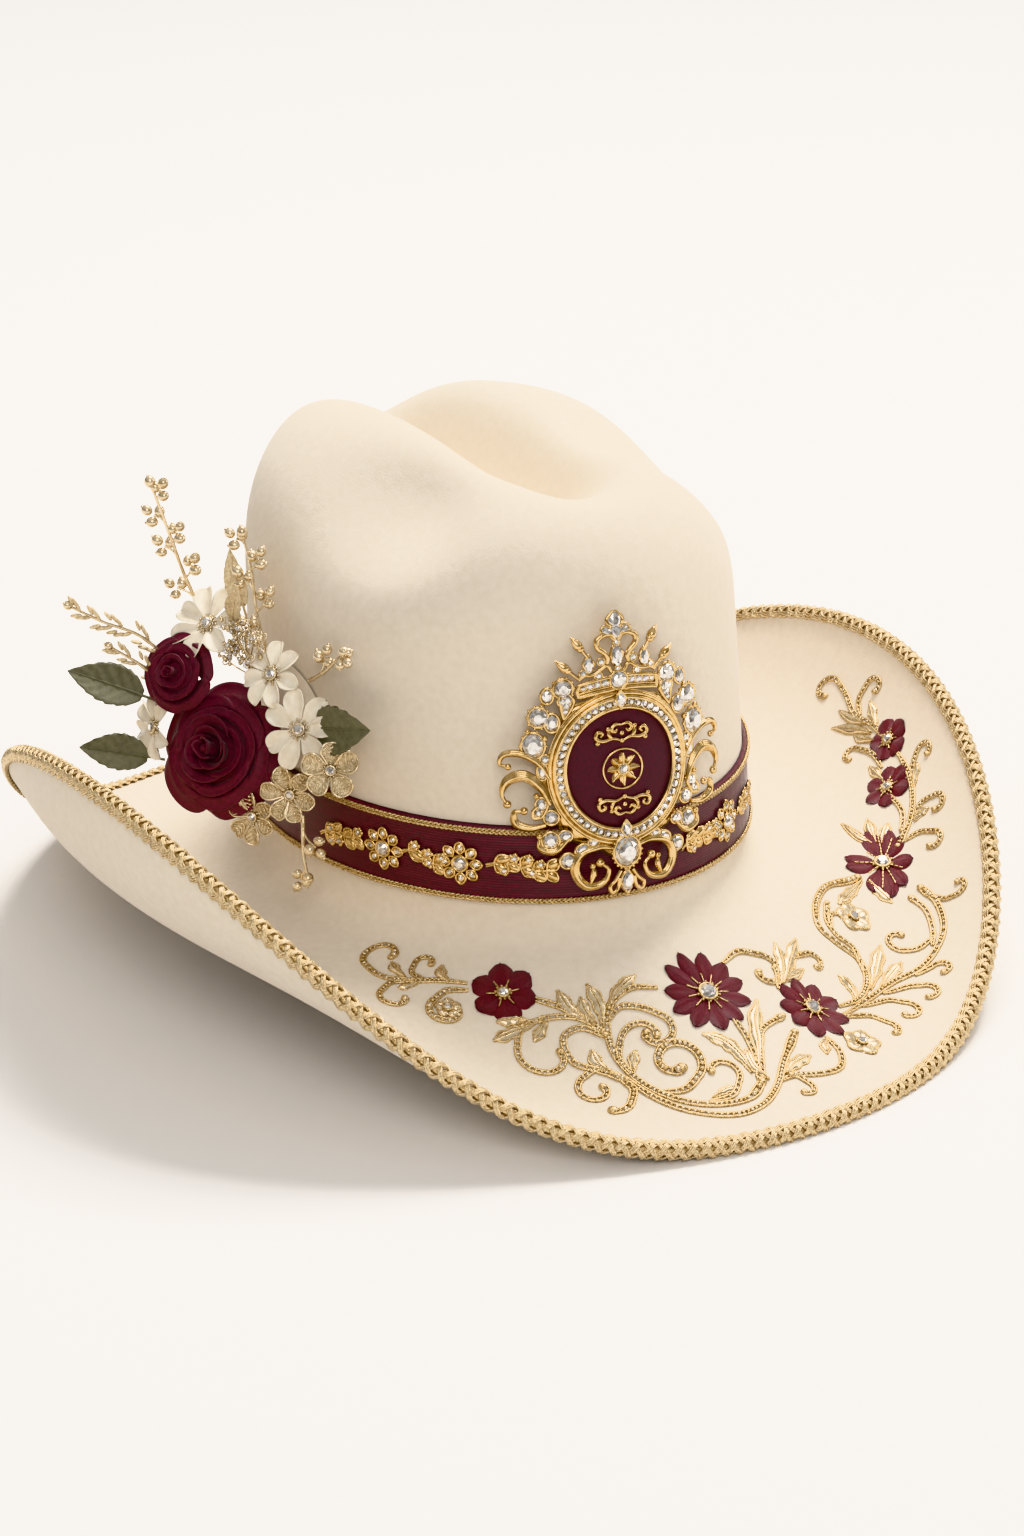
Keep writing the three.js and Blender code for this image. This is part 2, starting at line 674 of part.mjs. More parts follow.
// A leaf is a flat bar, widest at two fifths of its length.
function leafBlade(from, to) {
  const along = to.clone().sub(from);
  const across = along.clone().cross(new THREE.Vector3(...OUTWARD)).normalize();
  const face = along.clone().cross(across).normalize();
  const stations = [0.02, 0.25, 0.45, 0.7, 0.98];
  const widths = [0.8, 5, 6.5, 4.8, 0.6];
  const loops = stations.map((share, i) => {
    const middle = from.clone().addScaledVector(along, share);
    return [[1, 0], [0, 1], [-1, 0], [0, -1]].map(([side, up]) =>
      middle
        .clone()
        .addScaledVector(across, side * widths[i])
        .addScaledVector(face, up * 0.5),
    );
  });
  return loft(loops);
}

makeFelt();
makeBandAndSweatband();
makeLiner();
makeBraid();
makeBrimTrim();
makeBandTrim();
makeMedallion();
makeCorsage();

export default hat;
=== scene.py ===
# %% [markdown]
# # A dress sombrero
#
# This lesson dresses a plain engineering model of a hat. The model, called the frame, already says
# how big each part is and where it sits. Here every part gets the surface that the real one has:
# felt with a nap, a braided edge, stitched flowers, a jewelled medallion and a silk corsage.
# The first cell loads the frame.

# %% Load the frame
import math
import random

import bmesh
import bpy
from mathutils import Matrix, Vector


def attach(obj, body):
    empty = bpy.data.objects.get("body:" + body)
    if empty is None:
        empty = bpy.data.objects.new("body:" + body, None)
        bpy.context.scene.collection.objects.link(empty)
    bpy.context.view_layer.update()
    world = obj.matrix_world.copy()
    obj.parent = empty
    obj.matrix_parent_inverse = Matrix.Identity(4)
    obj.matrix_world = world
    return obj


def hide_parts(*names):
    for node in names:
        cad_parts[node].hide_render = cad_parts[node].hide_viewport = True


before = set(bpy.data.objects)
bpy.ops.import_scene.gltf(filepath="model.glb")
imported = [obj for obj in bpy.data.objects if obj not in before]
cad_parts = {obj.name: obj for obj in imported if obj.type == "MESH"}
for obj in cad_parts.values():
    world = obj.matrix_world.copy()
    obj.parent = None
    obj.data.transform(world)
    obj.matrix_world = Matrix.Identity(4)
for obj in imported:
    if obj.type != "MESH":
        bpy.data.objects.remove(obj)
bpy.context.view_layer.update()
print("frame nodes:", len(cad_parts))

# %% [markdown]
# ## Working units
#
# Hat makers think in millimetres and Blender in metres. All shapes below are worked out in
# millimetres from the foot of the crown, and one matrix moves a finished mesh into the frame. The
# foot of the crown lies above the surface that the hat stands on, because the brim dips at the
# front and the back.

# %% Units and the foot of the crown
MM = 0.001
BRIM_DROP = 43.6
TO_FRAME = Matrix.Scale(MM, 4) @ Matrix.Translation((0, 0, BRIM_DROP))
dice = random.Random(7)
print("the crown's foot is", BRIM_DROP, "mm above the table")

# %% [markdown]
# ## The felt's shape as formulas
#
# A felt hat is one sheet pressed over a block, so its shape is a smooth function of two numbers:
# where we are round the head, and how far we have gone from the tip to the edge. Writing that
# function once is better than sculpting, because the band, the braid and every stitched flower can
# then be laid on the same surface. The crown is an oval with rounded shoulders, and three soft
# presses make its crease and its two front dents.

# %% The crown
BASE_X, BASE_Y = 88.0, 104.0
CROWN_HEIGHT, WALL_SHARE = 161.0, 0.6
SHOULDER, TAPER, BULGE, LEAN = 3.1, 0.042, 0.006, 0.072
WALL_HEIGHT = CROWN_HEIGHT * WALL_SHARE
CREASE = {"depth": 33, "width": 17, "back": 84, "front": -54, "front_lift": 6.5}
HUMP = {"rise": 6, "at": -42, "width": 24, "from": -60, "to": 35}
DENT = {"at": (55, -16, 145), "sizes": (24, 32, 24), "push": (22, -2, -10)}


def smooth(start, end, value):
    share = min(1.0, max(0.0, (value - start) / (end - start)))
    return share * share * (3 - 2 * share)


def crown_point(angle, level):
    """Level 0 is the foot of the crown, 0.5 the top of its wall and 1 the middle of its tip."""
    turn = max(0.0, level - 0.5) * math.pi
    rise = math.sin(turn) ** (2 / SHOULDER)
    spread = max(0.0, math.cos(turn)) ** (2 / SHOULDER)
    z = WALL_HEIGHT * min(1.0, level * 2) + (CROWN_HEIGHT - WALL_HEIGHT) * rise
    share = z / CROWN_HEIGHT
    girth = spread * (1 - TAPER * share + 4 * BULGE * share * (1 - share))
    x = BASE_X * girth * math.cos(angle)
    y = BASE_Y * girth * math.sin(angle) + LEAN * z
    high = smooth(0.6 * CROWN_HEIGHT, CROWN_HEIGHT, z)
    z += CREASE["front_lift"] * (1 - smooth(-100, 40, y)) * high
    beside = math.exp(-(((x - HUMP["at"]) / HUMP["width"]) ** 2))
    z += HUMP["rise"] * beside * smooth(HUMP["from"], HUMP["to"], y) * high
    for side in (-1, 1):
        away = 0.5 * ((x - side * DENT["at"][0]) / DENT["sizes"][0]) ** 2
        away += ((y - DENT["at"][1]) / DENT["sizes"][1]) ** 2
        away += ((z - DENT["at"][2]) / DENT["sizes"][2]) ** 2
        press = math.exp(-away)
        x -= side * DENT["push"][0] * press
        y += DENT["push"][1] * press
        z += DENT["push"][2] * press
    along = 1 - smooth(CREASE["back"] - 20, CREASE["back"] + 32, y)
    along *= smooth(CREASE["front"] - 22, CREASE["front"] + 34, y)
    across = math.exp(-((abs(x) / CREASE["width"]) ** 2.2))
    z -= CREASE["depth"] * across * along * smooth(0.62 * CROWN_HEIGHT, 0.92 * CROWN_HEIGHT, z)
    return Vector((x, y, z))


def wall_point(angle, height):
    """A point on the side of the crown at a height over its foot."""
    if height <= WALL_HEIGHT:
        return crown_point(angle, height / (2 * WALL_HEIGHT))
    rise = (height - WALL_HEIGHT) / (CROWN_HEIGHT - WALL_HEIGHT)
    return crown_point(angle, 0.5 + math.asin(rise ** (SHOULDER / 2)) / math.pi)


print("tip of the crown:", [round(c, 1) for c in crown_point(0, 1)])

# %% [markdown]
# The brim is rolled up at both sides and dips at the front and the back. At each place round the
# head its section is one Bezier curve, with a reach, a rise and two end slopes that vary with the
# direction. The four weights of a cubic Bezier curve give the same section as the frame's.

# %% The brim
REACH = {"mean": 93, "second": -3}
EDGE = {"mean": -3.5, "second": 47, "fourth": 9, "sixth": -1.5, "right_lower": 11.5}
SLOPE = {"front_in": -0.37, "front_out": -0.15, "side_in": -0.4, "side_out": 1.4, "more": 0.25}
HANDLES = (0.42, 0.48)
sections = {}


def brim_section(angle):
    """The foot, the outward direction and the four Bezier points of the brim's section."""
    key = round(angle, 7)
    if key in sections:
        return sections[key]
    foot = Vector((BASE_X * math.cos(angle), BASE_Y * math.sin(angle), 0))
    outward = Vector((math.cos(angle) / BASE_X, math.sin(angle) / BASE_Y, 0)).normalized()
    heading = math.atan2(outward.y, outward.x)
    sideways = outward.x**2
    run = REACH["mean"] + REACH["second"] * math.cos(2 * heading)
    rise = EDGE["mean"] - EDGE["right_lower"] * outward.x * abs(outward.x)
    for count, term in ((2, "second"), (4, "fourth"), (6, "sixth")):
        rise += EDGE[term] * math.cos(count * heading)
    side_out = SLOPE["side_out"] - SLOPE["more"] * (1 if outward.x > 0 else -1)
    slope_in = SLOPE["front_in"] * (1 - sideways) + SLOPE["side_in"] * sideways
    slope_out = SLOPE["front_out"] * (1 - sideways) + side_out * sideways
    span = math.hypot(run, rise)
    first = HANDLES[0] * span * math.cos(slope_in), HANDLES[0] * span * math.sin(slope_in)
    second = run - HANDLES[1] * span * math.cos(slope_out), rise - HANDLES[1] * span * math.sin(slope_out)
    sections[key] = foot, outward, ((0, 0), first, second, (run, rise))
    return sections[key]


def brim_point(angle, reach):
    """The brim's upper face, from the foot of the crown (reach 0) to its edge (reach 1)."""
    foot, outward, points = brim_section(angle)
    back = 1 - reach
    weights = back**3, 3 * back**2 * reach, 3 * back * reach**2, reach**3
    out = sum(weight * point[0] for weight, point in zip(weights, points))
    up = sum(weight * point[1] for weight, point in zip(weights, points))
    return foot + outward * out + Vector((0, 0, up))


print("front edge of the brim:", [round(c, 1) for c in brim_point(-math.pi / 2, 1)])

# %% [markdown]
# A seat is the place of a sewn piece: a map from a flat pattern to the curved felt. It measures how
# long a small step is on the surface in each direction, so a 10 mm petal stays 10 mm long wherever
# it is sewn, and it lifts a point along the surface's own normal.

# %% Seats on the felt
STEP = 1e-3


class Seat:
    """A flat pattern's frame on the felt: x along the head, y towards the tip of the crown."""

    def __init__(self, surface, degrees, second, tipwards):
        self.surface, self.tipwards = surface, tipwards
        self.middle = math.radians(degrees), second
        here = surface(*self.middle)
        self.per_x = STEP / (surface(self.middle[0] + STEP, second) - here).length
        self.per_y = STEP / (surface(self.middle[0], second + STEP) - here).length * tipwards

    def axes(self, x, y):
        a, b = self.middle[0] + x * self.per_x, self.middle[1] + y * self.per_y
        here = self.surface(a, b)
        along = (self.surface(a + STEP, b) - here).normalized()
        tip = (self.surface(a, b + STEP) - here) * self.tipwards
        normal = along.cross(tip).normalized()
        return here, along, normal.cross(along), normal

    def point(self, x, y, lift=0.0):
        here, _, _, normal = self.axes(x, y)
        return here + normal * lift

    def matrix(self, x=0.0, y=0.0, lift=0.0, turn=0.0):
        """A rigid place for a small hard piece, turned about the normal."""
        here, along, tip, normal = self.axes(x, y)
        basis = Matrix((along, tip, normal)).transposed().to_4x4()
        return Matrix.Translation(here + normal * lift) @ basis @ Matrix.Rotation(turn, 4, "Z")


def crown_seat(degrees, height):
    return Seat(wall_point, degrees, height, 1)


def brim_seat(degrees, reach):
    return Seat(brim_point, degrees, reach, -1)


print("a seat on the crown:", [round(c, 1) for c in crown_seat(-100, 74).point(0, 0)])

# %% [markdown]
# ## Camera, light and table
#
# A hat shows best from slightly above and through a long lens, so that the near brim isn't
# stretched. The camera looks from the wearer's right front. Big soft area lights and a pale world
# give gentle shading, and the lights' own shapes give the metal and the stones something to
# reflect.

# %% Camera and studio
PALE = (0.91, 0.885, 0.86, 1)
WARM_WHITE = (1, 0.985, 0.965)
SIDE_GREY, TOP_WHITE = (0.42, 0.40, 0.385, 1), (1.0, 0.995, 0.985, 1)
WORLD_LIGHT = 0.66
CAMERA = {"lens": 105.5, "turn": -34.6, "height": 23.7, "distance": 1.703, "target": (0, -8.6, 26.6)}


def add_camera():
    data = bpy.data.cameras.new("camera")
    data.lens, data.sensor_fit, data.sensor_width = CAMERA["lens"], "AUTO", 36.0
    camera = bpy.data.objects.new("camera", data)
    bpy.context.collection.objects.link(camera)
    turn, height = math.radians(CAMERA["turn"]), math.radians(CAMERA["height"])
    flat = math.cos(height)
    back = Vector((math.sin(turn) * flat, -math.cos(turn) * flat, math.sin(height)))
    camera.location = TO_FRAME @ Vector(CAMERA["target"]) + back * CAMERA["distance"]
    camera.rotation_euler = back.to_track_quat("Z", "Y").to_euler()
    bpy.context.scene.camera = camera
    return camera


def add_panel(name, place, size, power):
    data = bpy.data.lights.new(name, "AREA")
    data.shape, data.size, data.size_y = "RECTANGLE", *size
    data.energy, data.color = power, WARM_WHITE
    light = bpy.data.objects.new(name, data)
    bpy.context.collection.objects.link(light)
    light.location = place
    light.rotation_euler = (Vector(place) - Vector((0, 0, 0.08))).to_track_quat("Z", "Y").to_euler()
    return light


def add_world():
    world = bpy.data.worlds.new("studio")
    bpy.context.scene.world = world
    world.use_nodes = True
    nodes, links = world.node_tree.nodes, world.node_tree.links
    background = nodes["Background"]
    background.inputs["Strength"].default_value = WORLD_LIGHT
    way, parts = nodes.new("ShaderNodeTexCoord"), nodes.new("ShaderNodeSeparateXYZ")
    rise, tint = nodes.new("ShaderNodeMapRange"), nodes.new("ShaderNodeMix")
    tint.data_type = "RGBA"
    tint.inputs[6].default_value, tint.inputs[7].default_value = SIDE_GREY, TOP_WHITE
    links.new(way.outputs["Generated"], parts.inputs[0])
    links.new(parts.outputs["Z"], rise.inputs["Value"])
    links.new(rise.outputs["Result"], tint.inputs["Factor"])
    links.new(tint.outputs[2], background.inputs["Color"])


def add_floor():
    shape = bmesh.new()
    bmesh.ops.create_grid(shape, x_segments=1, y_segments=1, size=6)
    mesh = bpy.data.meshes.new("floor")
    shape.to_mesh(mesh)
    shape.free()
    floor = bpy.data.objects.new("floor", mesh)
    bpy.context.collection.objects.link(floor)
    paper = bpy.data.materials.new("pale_paper")
    paper.use_nodes = True
    surface = paper.node_tree.nodes["Principled BSDF"]
    surface.inputs["Base Color"].default_value = PALE
    surface.inputs["Roughness"].default_value = 0.9
    mesh.materials.append(paper)


bpy.context.scene.view_settings.view_transform = "Khronos PBR Neutral"
add_camera()
add_world()
add_floor()
add_panel("overhead", (0.7, 0.45, 1.6), (0.9, 0.8), 46)
add_panel("front", (-0.9, -1.5, 1.3), (0.9, 0.9), 13)
add_panel("side", (1.5, -0.5, 0.7), (0.5, 0.9), 5)

# %% [markdown]
# ## Helpers for meshes
#
# Most pieces here start as a flat grid that is bent over something: a petal, a leaf, a ribbon, the
# felt itself. bmesh makes the grid and its UV map, and one function says where each point goes.
# Merging doubles afterwards closes a seam where the grid meets itself.

# %% Bent grids
def bent_grid(place, across, along, closed=False, shape=None, material=0):
    """Adds a grid whose point at u, v (0 to 1) lies at place(u, v), in millimetres."""
    shape = shape or bmesh.new()
    uv_map = shape.loops.layers.uv.get("UVMap") or shape.loops.layers.uv.new("UVMap")
    made = bmesh.ops.create_grid(shape, x_segments=across, y_segments=along, size=0.5)["verts"]
    for face in {face for vert in made for face in vert.link_faces}:
        face.material_index = material
        face.smooth = True
        for loop in face.loops:
            loop[uv_map].uv = loop.vert.co.x + 0.5, loop.vert.co.y + 0.5
    for vert in made:
        vert.co = place(vert.co.x + 0.5, vert.co.y + 0.5)
    if closed:
        bmesh.ops.remove_doubles(shape, verts=made, dist=1e-3)
    return shape


def wall(shape, thickness):
    """Gives a sheet its thickness, inwards from the face that it shows."""
    bmesh.ops.solidify(shape, geom=shape.faces[:], thickness=thickness)
    return shape


print("a test grid has", len(bent_grid(lambda u, v: Vector((u, v, 0)), 4, 3).faces), "faces")

# %% [markdown]
# Wires, threads and stems are round sections that follow a path. A curve with a bevel is how an
# editor user makes them, so the helper does that and takes the mesh that Blender makes from the
# curve. Each path may have its own radius at every point, which makes tapered tendrils and stems
# with club ends.

# %% Threads, wires and stems
def add_cords(shape, paths, radius, sides=6, closed=False, material=0, radii=None):
    """Adds round cords along lists of points; radii(share) scales a cord along its length."""
    data = bpy.data.curves.new("cords", "CURVE")
    data.dimensions, data.bevel_depth, data.use_fill_caps = "3D", radius, True
    data.bevel_resolution = max(0, (sides - 4) // 2)
    for path in paths:
        spline = data.splines.new("POLY")
        spline.points.add(len(path) - 1)
        spline.use_cyclic_u = closed
        for step, (point, place) in enumerate(zip(spline.points, path)):
            point.co = (*place, 1)
            point.radius = radii(step / (len(path) - 1)) if radii else 1.0
    holder = bpy.data.objects.new("cords", data)
    mesh = bpy.data.meshes.new_from_object(holder)
    first = len(shape.faces)
    shape.loops.layers.uv.get("UVMap") or shape.loops.layers.uv.new("UVMap")
    shape.from_mesh(mesh)
    shape.faces.ensure_lookup_table()
    for face in shape.faces[first:]:
        face.material_index, face.smooth = material, True
    bpy.data.objects.remove(holder)
    bpy.data.curves.remove(data)
    bpy.data.meshes.remove(mesh)
    return shape


def smooth_path(points, steps=6):
    """A Catmull-Rom curve through points of any dimension."""
    points = [Vector(point) for point in points]
    ends = [2 * points[0] - points[1], *points, 2 * points[-1] - points[-2]]
    path = []
    for before, start, end, after in zip(ends, ends[1:], ends[2:], ends[3:]):
        for step in range(steps):
            t = step / steps
            bend = (2 * before - 5 * start + 4 * end - after) * t * t
            twist = (3 * start - before - 3 * end + after) * t**3
            path.append(0.5 * (2 * start + (end - before) * t + bend + twist))
    return [*path, points[-1]]


# %% [markdown]
# Small solid shapes, such as beads and stones, start from a bmesh primitive that is moved to its
# place by one matrix. A paste stone is a cone with a cut top: eight main facets, a turned ring of
# star facets and a flat table, all shaded flat so that each facet mirrors its own bit of the room.

# %% Beads, stones and stitches
def add_bead(shape, matrix, radius, squash=(1, 1, 1), material=0, fine=False):
    place = matrix @ Matrix.Diagonal((*squash, 1))
    kind = {"u_segments": 12, "v_segments": 8} if fine else {"u_segments": 6, "v_segments": 4}
    made = bmesh.ops.create_uvsphere(shape, radius=radius, matrix=place, **kind)["verts"]
    for face in {face for vert in made for face in vert.link_faces}:
        face.material_index, face.smooth = material, True


def add_stone(shape, matrix, radius, stretch=(1, 1), material=0, sides=8, height=0.55):
    """A faceted stone whose girdle lies in the matrix's plane."""
    oval = matrix @ Matrix.Diagonal((*stretch, 1, 1))
    rings = (1.0, -0.25, 0), (1.0, 0.05, 0), (0.8, 0.55, 0.5), (0.5, 1.0, 0)
    loops = []
    for width, lift, turn in rings:
        seat = Matrix.Translation((0, 0, lift * height * radius)) @ Matrix.Rotation(
            turn * math.tau / sides, 4, "Z"
        )
        ring = bmesh.ops.create_circle(
            shape, segments=sides, radius=radius * width, matrix=oval @ seat
        )["verts"]
        loops.append(ring)
    before = set(shape.faces)
    for lower, upper in zip(loops, loops[1:]):
        rim = {edge for vert in lower + upper for edge in vert.link_edges}
        sets = set(lower), set(upper)
        edges = [edge for edge in rim if set(edge.verts) <= sets[0] or set(edge.verts) <= sets[1]]
        bmesh.ops.bridge_loops(shape, edges=edges)
    bmesh.ops.contextual_create(shape, geom=loops[-1])
    bmesh.ops.contextual_create(shape, geom=loops[0])
    for face in set(shape.faces) - before:
        face.material_index, face.smooth = material, False


def ring_path(matrix, width, height=None, steps=24):
    """Points of an oval in a matrix's plane."""
    height = height or width
    turns = [math.tau * step / steps for step in range(steps)]
    return [matrix @ Vector((width * math.cos(turn), height * math.sin(turn), 0)) for turn in turns]


# %% Making a piece
pieces = {}


def make_piece(name, shape, replaces, slot, materials, weld=True):
    if weld:
        bmesh.ops.recalc_face_normals(shape, faces=shape.faces[:])
    shape.transform(TO_FRAME)
    mesh = bpy.data.meshes.new(name)
    shape.to_mesh(mesh)
    shape.free()
    for material in materials:
        mesh.materials.append(material)
    piece = bpy.data.objects.new(name, mesh)
    bpy.context.collection.objects.link(piece)
    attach(piece, "root")
    if replaces:
        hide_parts(*replaces)
    pieces[name] = len(mesh.polygons)
    return piece


# %% [markdown]
# ## Finishes
#
# Every finish is a node tree, built by a small helper so that each line says what a node does.
# Two effects are shared by many finishes and are node groups of their own. Grain gives a mottled
# shade and a fine relief from noise, for the nap of felt, the tooth of cloth and the patina of
# metal. Thread gives the ridges of stitching along a piece's own UV map, and from the same ridges
# it paints shade into the colour of the grooves between stitches and light onto their tops, made
# uneven by noise.

# %% The node helper and the shared groups
class Recipe:
    """Adds nodes to a material's or a group's tree."""

    def __init__(self, tree):
        self.tree = tree

    def add(self, kind, inputs=None, **settings):
        made = self.tree.nodes.new("ShaderNode" + kind)
        for key, value in settings.items():
            setattr(made, key, value)
        for key, value in (inputs or {}).items():
            if isinstance(value, bpy.types.NodeSocket):
                self.tree.links.new(value, made.inputs[key])
            else:
                made.inputs[key].default_value = value
        return made

    def math(self, operation, first, second=0.0):
        return self.add("Math", {0: first, 1: second}, operation=operation).outputs[0]

    def blend(self, share, first, second, way="MIX"):
        inputs = {"Factor": share, 6: first, 7: second}
        return self.add("Mix", inputs, data_type="RGBA", blend_type=way).outputs[2]


def open_group(name, inputs, outputs):
    tree = bpy.data.node_groups.new(name, "ShaderNodeTree")
    for label, kind, value in inputs:
        socket = tree.interface.new_socket(label, in_out="INPUT", socket_type="NodeSocket" + kind)
        if value is not None:
            socket.default_value = value
    for label, kind in outputs:
        tree.interface.new_socket(label, in_out="OUTPUT", socket_type="NodeSocket" + kind)
    return tree, tree.nodes.new("NodeGroupInput").outputs, tree.nodes.new("NodeGroupOutput").inputs


def make_grain_group():
    tree, given, out = open_group(
        "grain",
        [("Vector", "Vector", None), ("Scale", "Float", 500.0), ("Fine", "Float", 5.0)],
        [("Shade", "Float"), ("Height", "Float")],
    )
    recipe = Recipe(tree)
    spread = {"Vector": given["Vector"], "Scale": given["Scale"], "Detail": 4.0}
    broad = recipe.add("TexNoise", spread).outputs["Fac"]
    fine_scale = recipe.math("MULTIPLY", given["Scale"], given["Fine"])
    fine = recipe.add("TexNoise", {"Vector": given["Vector"], "Scale": fine_scale, "Detail": 2.0})
    shares = recipe.math("MULTIPLY", broad, 0.55), recipe.math("MULTIPLY", fine.outputs[0], 0.45)
    both = recipe.math("ADD", *shares)
    tree.links.new(broad, out["Shade"])
    tree.links.new(both, out["Height"])
    return tree


def make_thread_group():
    tree, given, out = open_group(
        "thread",
        [("Vector", "Vector", None), ("Count", "Float", 30.0), ("Slant", "Float", 6.0)],
        [("Shade", "Float"), ("Height", "Float")],
    )
    recipe = Recipe(tree)
    parts = recipe.add("SeparateXYZ", {0: given["Vector"]}).outputs
    from_middle = recipe.math("ABSOLUTE", recipe.math("SUBTRACT", parts["X"], 0.5))
    along = recipe.math("MULTIPLY", parts["Y"], given["Count"])
    phase = recipe.math("ADD", along, recipe.math("MULTIPLY", from_middle, given["Slant"]))
    ridge = recipe.math("SINE", recipe.math("MULTIPLY", phase, math.tau))
    ripple = recipe.math("ADD", recipe.math("MULTIPLY", ridge, 0.5), 0.5)
    uneven = recipe.add("TexNoise", {"Vector": given["Vector"], "Scale": 14.0}).outputs[0]
    # Shade is painted shade in the grooves between stitches and painted light on their ridges, taken from
    # the ridges' own height and made uneven by noise.
    tree.links.new(recipe.math("MULTIPLY", ripple, uneven), out["Shade"])
    tree.links.new(ripple, out["Height"])
    return tree


GRAIN, THREAD = make_grain_group(), make_thread_group()
print("groups:", GRAIN.name, THREAD.name)

# %% [markdown]
# One function then mixes a finish from its own values: a base colour that the grain darkens and
# lightens, a roughness that varies with the same mask, and a relief in metres. Felt and velvet get
# a sheen, because their standing fibres catch light at the edge. Gold is a metal whose roughness
# differs between polished castings and thread.

# %% Mixing a finish
def finish(name, dark, light, rough=(0.5, 0.6), metallic=0.0, grain=(500, 5, 0.0001),
           thread=None, sheen=0.0, coat=0.0, specular=0.5):
    """Grain is scale, fineness and relief in metres; thread is count, slant and relief."""
    material = bpy.data.materials.new(name)
    material.use_nodes = True
    recipe = Recipe(material.node_tree)
    surface = material.node_tree.nodes["Principled BSDF"]
    at = recipe.add("TexCoord").outputs
    speckle = recipe.add("Group", node_tree=GRAIN)
    speckle.inputs["Scale"].default_value, speckle.inputs["Fine"].default_value = grain[:2]
    recipe.tree.links.new(at["Object"], speckle.inputs["Vector"])
    shade = recipe.add("MapRange", {0: speckle.outputs["Shade"], 1: 0.3, 2: 0.7}).outputs[0]
    color = recipe.blend(shade, (*dark, 1), (*light, 1))
    height = speckle.outputs["Height"]
    relief = recipe.add("Bump", {"Strength": 1.0, "Distance": grain[2], "Height": height})
    if thread:
        stitches = recipe.add("Group", node_tree=THREAD)
        stitches.inputs["Count"].default_value, stitches.inputs["Slant"].default_value = thread[:2]
        recipe.tree.links.new(at["UV"], stitches.inputs["Vector"])
        # The thread's painted shade and light: the colour is multiplied darker in the grooves between
        # stitches and lighter on the ridges.
        ridge_light_and_groove_shade = recipe.add("MapRange", {0: stitches.outputs["Shade"], 1: 0.0, 2: 0.6, 3: 0.45, 4: 1.25})
        color = recipe.blend(1.0, color, ridge_light_and_groove_shade.outputs[0], "MULTIPLY")
        inputs = {"Strength": 1.0, "Distance": thread[2], "Height": stitches.outputs["Height"]}
        relief = recipe.add("Bump", {**inputs, "Normal": relief.outputs[0]})
    roughness = recipe.add("MapRange", {0: shade, 3: rough[0], 4: rough[1]}).outputs[0]
    for socket, made in (("Base Color", color), ("Roughness", roughness), ("Normal", relief.outputs[0])):
        recipe.tree.links.new(made, surface.inputs[socket])
    surface.inputs["Metallic"].default_value = metallic
    surface.inputs["Specular IOR Level"].default_value = specular
    surface.inputs["Sheen Weight"].default_value = sheen
    surface.inputs["Sheen Roughness"].default_value = 0.4
    surface.inputs["Coat Weight"].default_value = coat
    surface.inputs["Coat Roughness"].default_value = 0.15
    return material


FELT = finish("felt_nap", (0.725, 0.638, 0.522), (0.765, 0.683, 0.572), (0.88, 0.97), grain=(330, 5, 0.0002),
              sheen=0.1, specular=0.12)
SATIN = finish("band_satin", (0.085, 0.006, 0.018), (0.13, 0.010, 0.028), (0.38, 0.5),
               grain=(700, 4, 0.00008),
               thread=(30, 0, 0.00003), sheen=0.3)
VELVET = finish("plaque_velvet", (0.045, 0.003, 0.010), (0.085, 0.007, 0.018), (0.55, 0.7),
                grain=(900, 4, 0.00012), sheen=0.25)
LEATHER = finish("sweatband_leather", (0.17, 0.075, 0.03), (0.25, 0.12, 0.05), (0.42, 0.58),
                 grain=(420, 4, 0.00015), coat=0.1)
LINER = finish("liner_satin", (0.60, 0.49, 0.35), (0.70, 0.58, 0.43), (0.3, 0.42), grain=(260, 6, 0.00012),
               thread=(200, 0, 0.00004), sheen=0.2)
CRYSTAL = finish("crystal", (0.34, 0.30, 0.26), (1.0, 0.98, 0.95), (0.02, 0.06), metallic=0.85,
                 grain=(620, 2, 0.0), coat=1.0)
PETAL_THREAD = finish("burgundy_thread", (0.125, 0.007, 0.016), (0.235, 0.018, 0.034), (0.4, 0.52),
                      grain=(1400, 3, 0.00008), thread=(22, 12, 0.0002), sheen=0.05)
GOLD_THREAD = finish("gold_thread", (0.36, 0.22, 0.08), (0.86, 0.67, 0.38), (0.22, 0.42), metallic=0.85,
                     grain=(1300, 3, 0.00018))
BRAID_THREAD = finish("braid_thread", (0.46, 0.31, 0.14), (0.92, 0.76, 0.50), (0.26, 0.45), metallic=0.65,
                      grain=(1500, 3, 0.00015))
GOLD = finish("gold_metal", (0.52, 0.34, 0.13), (0.86, 0.63, 0.33), (0.1, 0.22), metallic=1.0,
              grain=(420, 4, 0.00005))
ROSE = finish("rose_cloth", (0.075, 0.004, 0.013), (0.15, 0.010, 0.030), (0.48, 0.62),
              grain=(650, 5, 0.00012), sheen=0.2)
CREAM = finish("cream_cloth", (0.78, 0.69, 0.54), (0.90, 0.83, 0.70), (0.3, 0.46), grain=(300, 6, 0.00012),
               sheen=0.1, coat=0.15)
CHAMPAGNE = finish("champagne_leaf", (0.55, 0.41, 0.22), (0.88, 0.75, 0.52), (0.3, 0.5), metallic=0.4,
                   grain=(900, 4, 0.0002))
OLIVE = finish("olive_leaf", (0.115, 0.110, 0.062), (0.175, 0.168, 0.100), (0.5, 0.68),
               grain=(420, 5, 0.00014), sheen=0.1)
BERRY = finish("gold_berry", (0.60, 0.46, 0.27), (0.86, 0.73, 0.52), (0.16, 0.26), metallic=0.8,
               grain=(300, 4, 0.00003), coat=0.4)
print(len([m for m in bpy.data.materials if m.use_nodes]), "finishes")

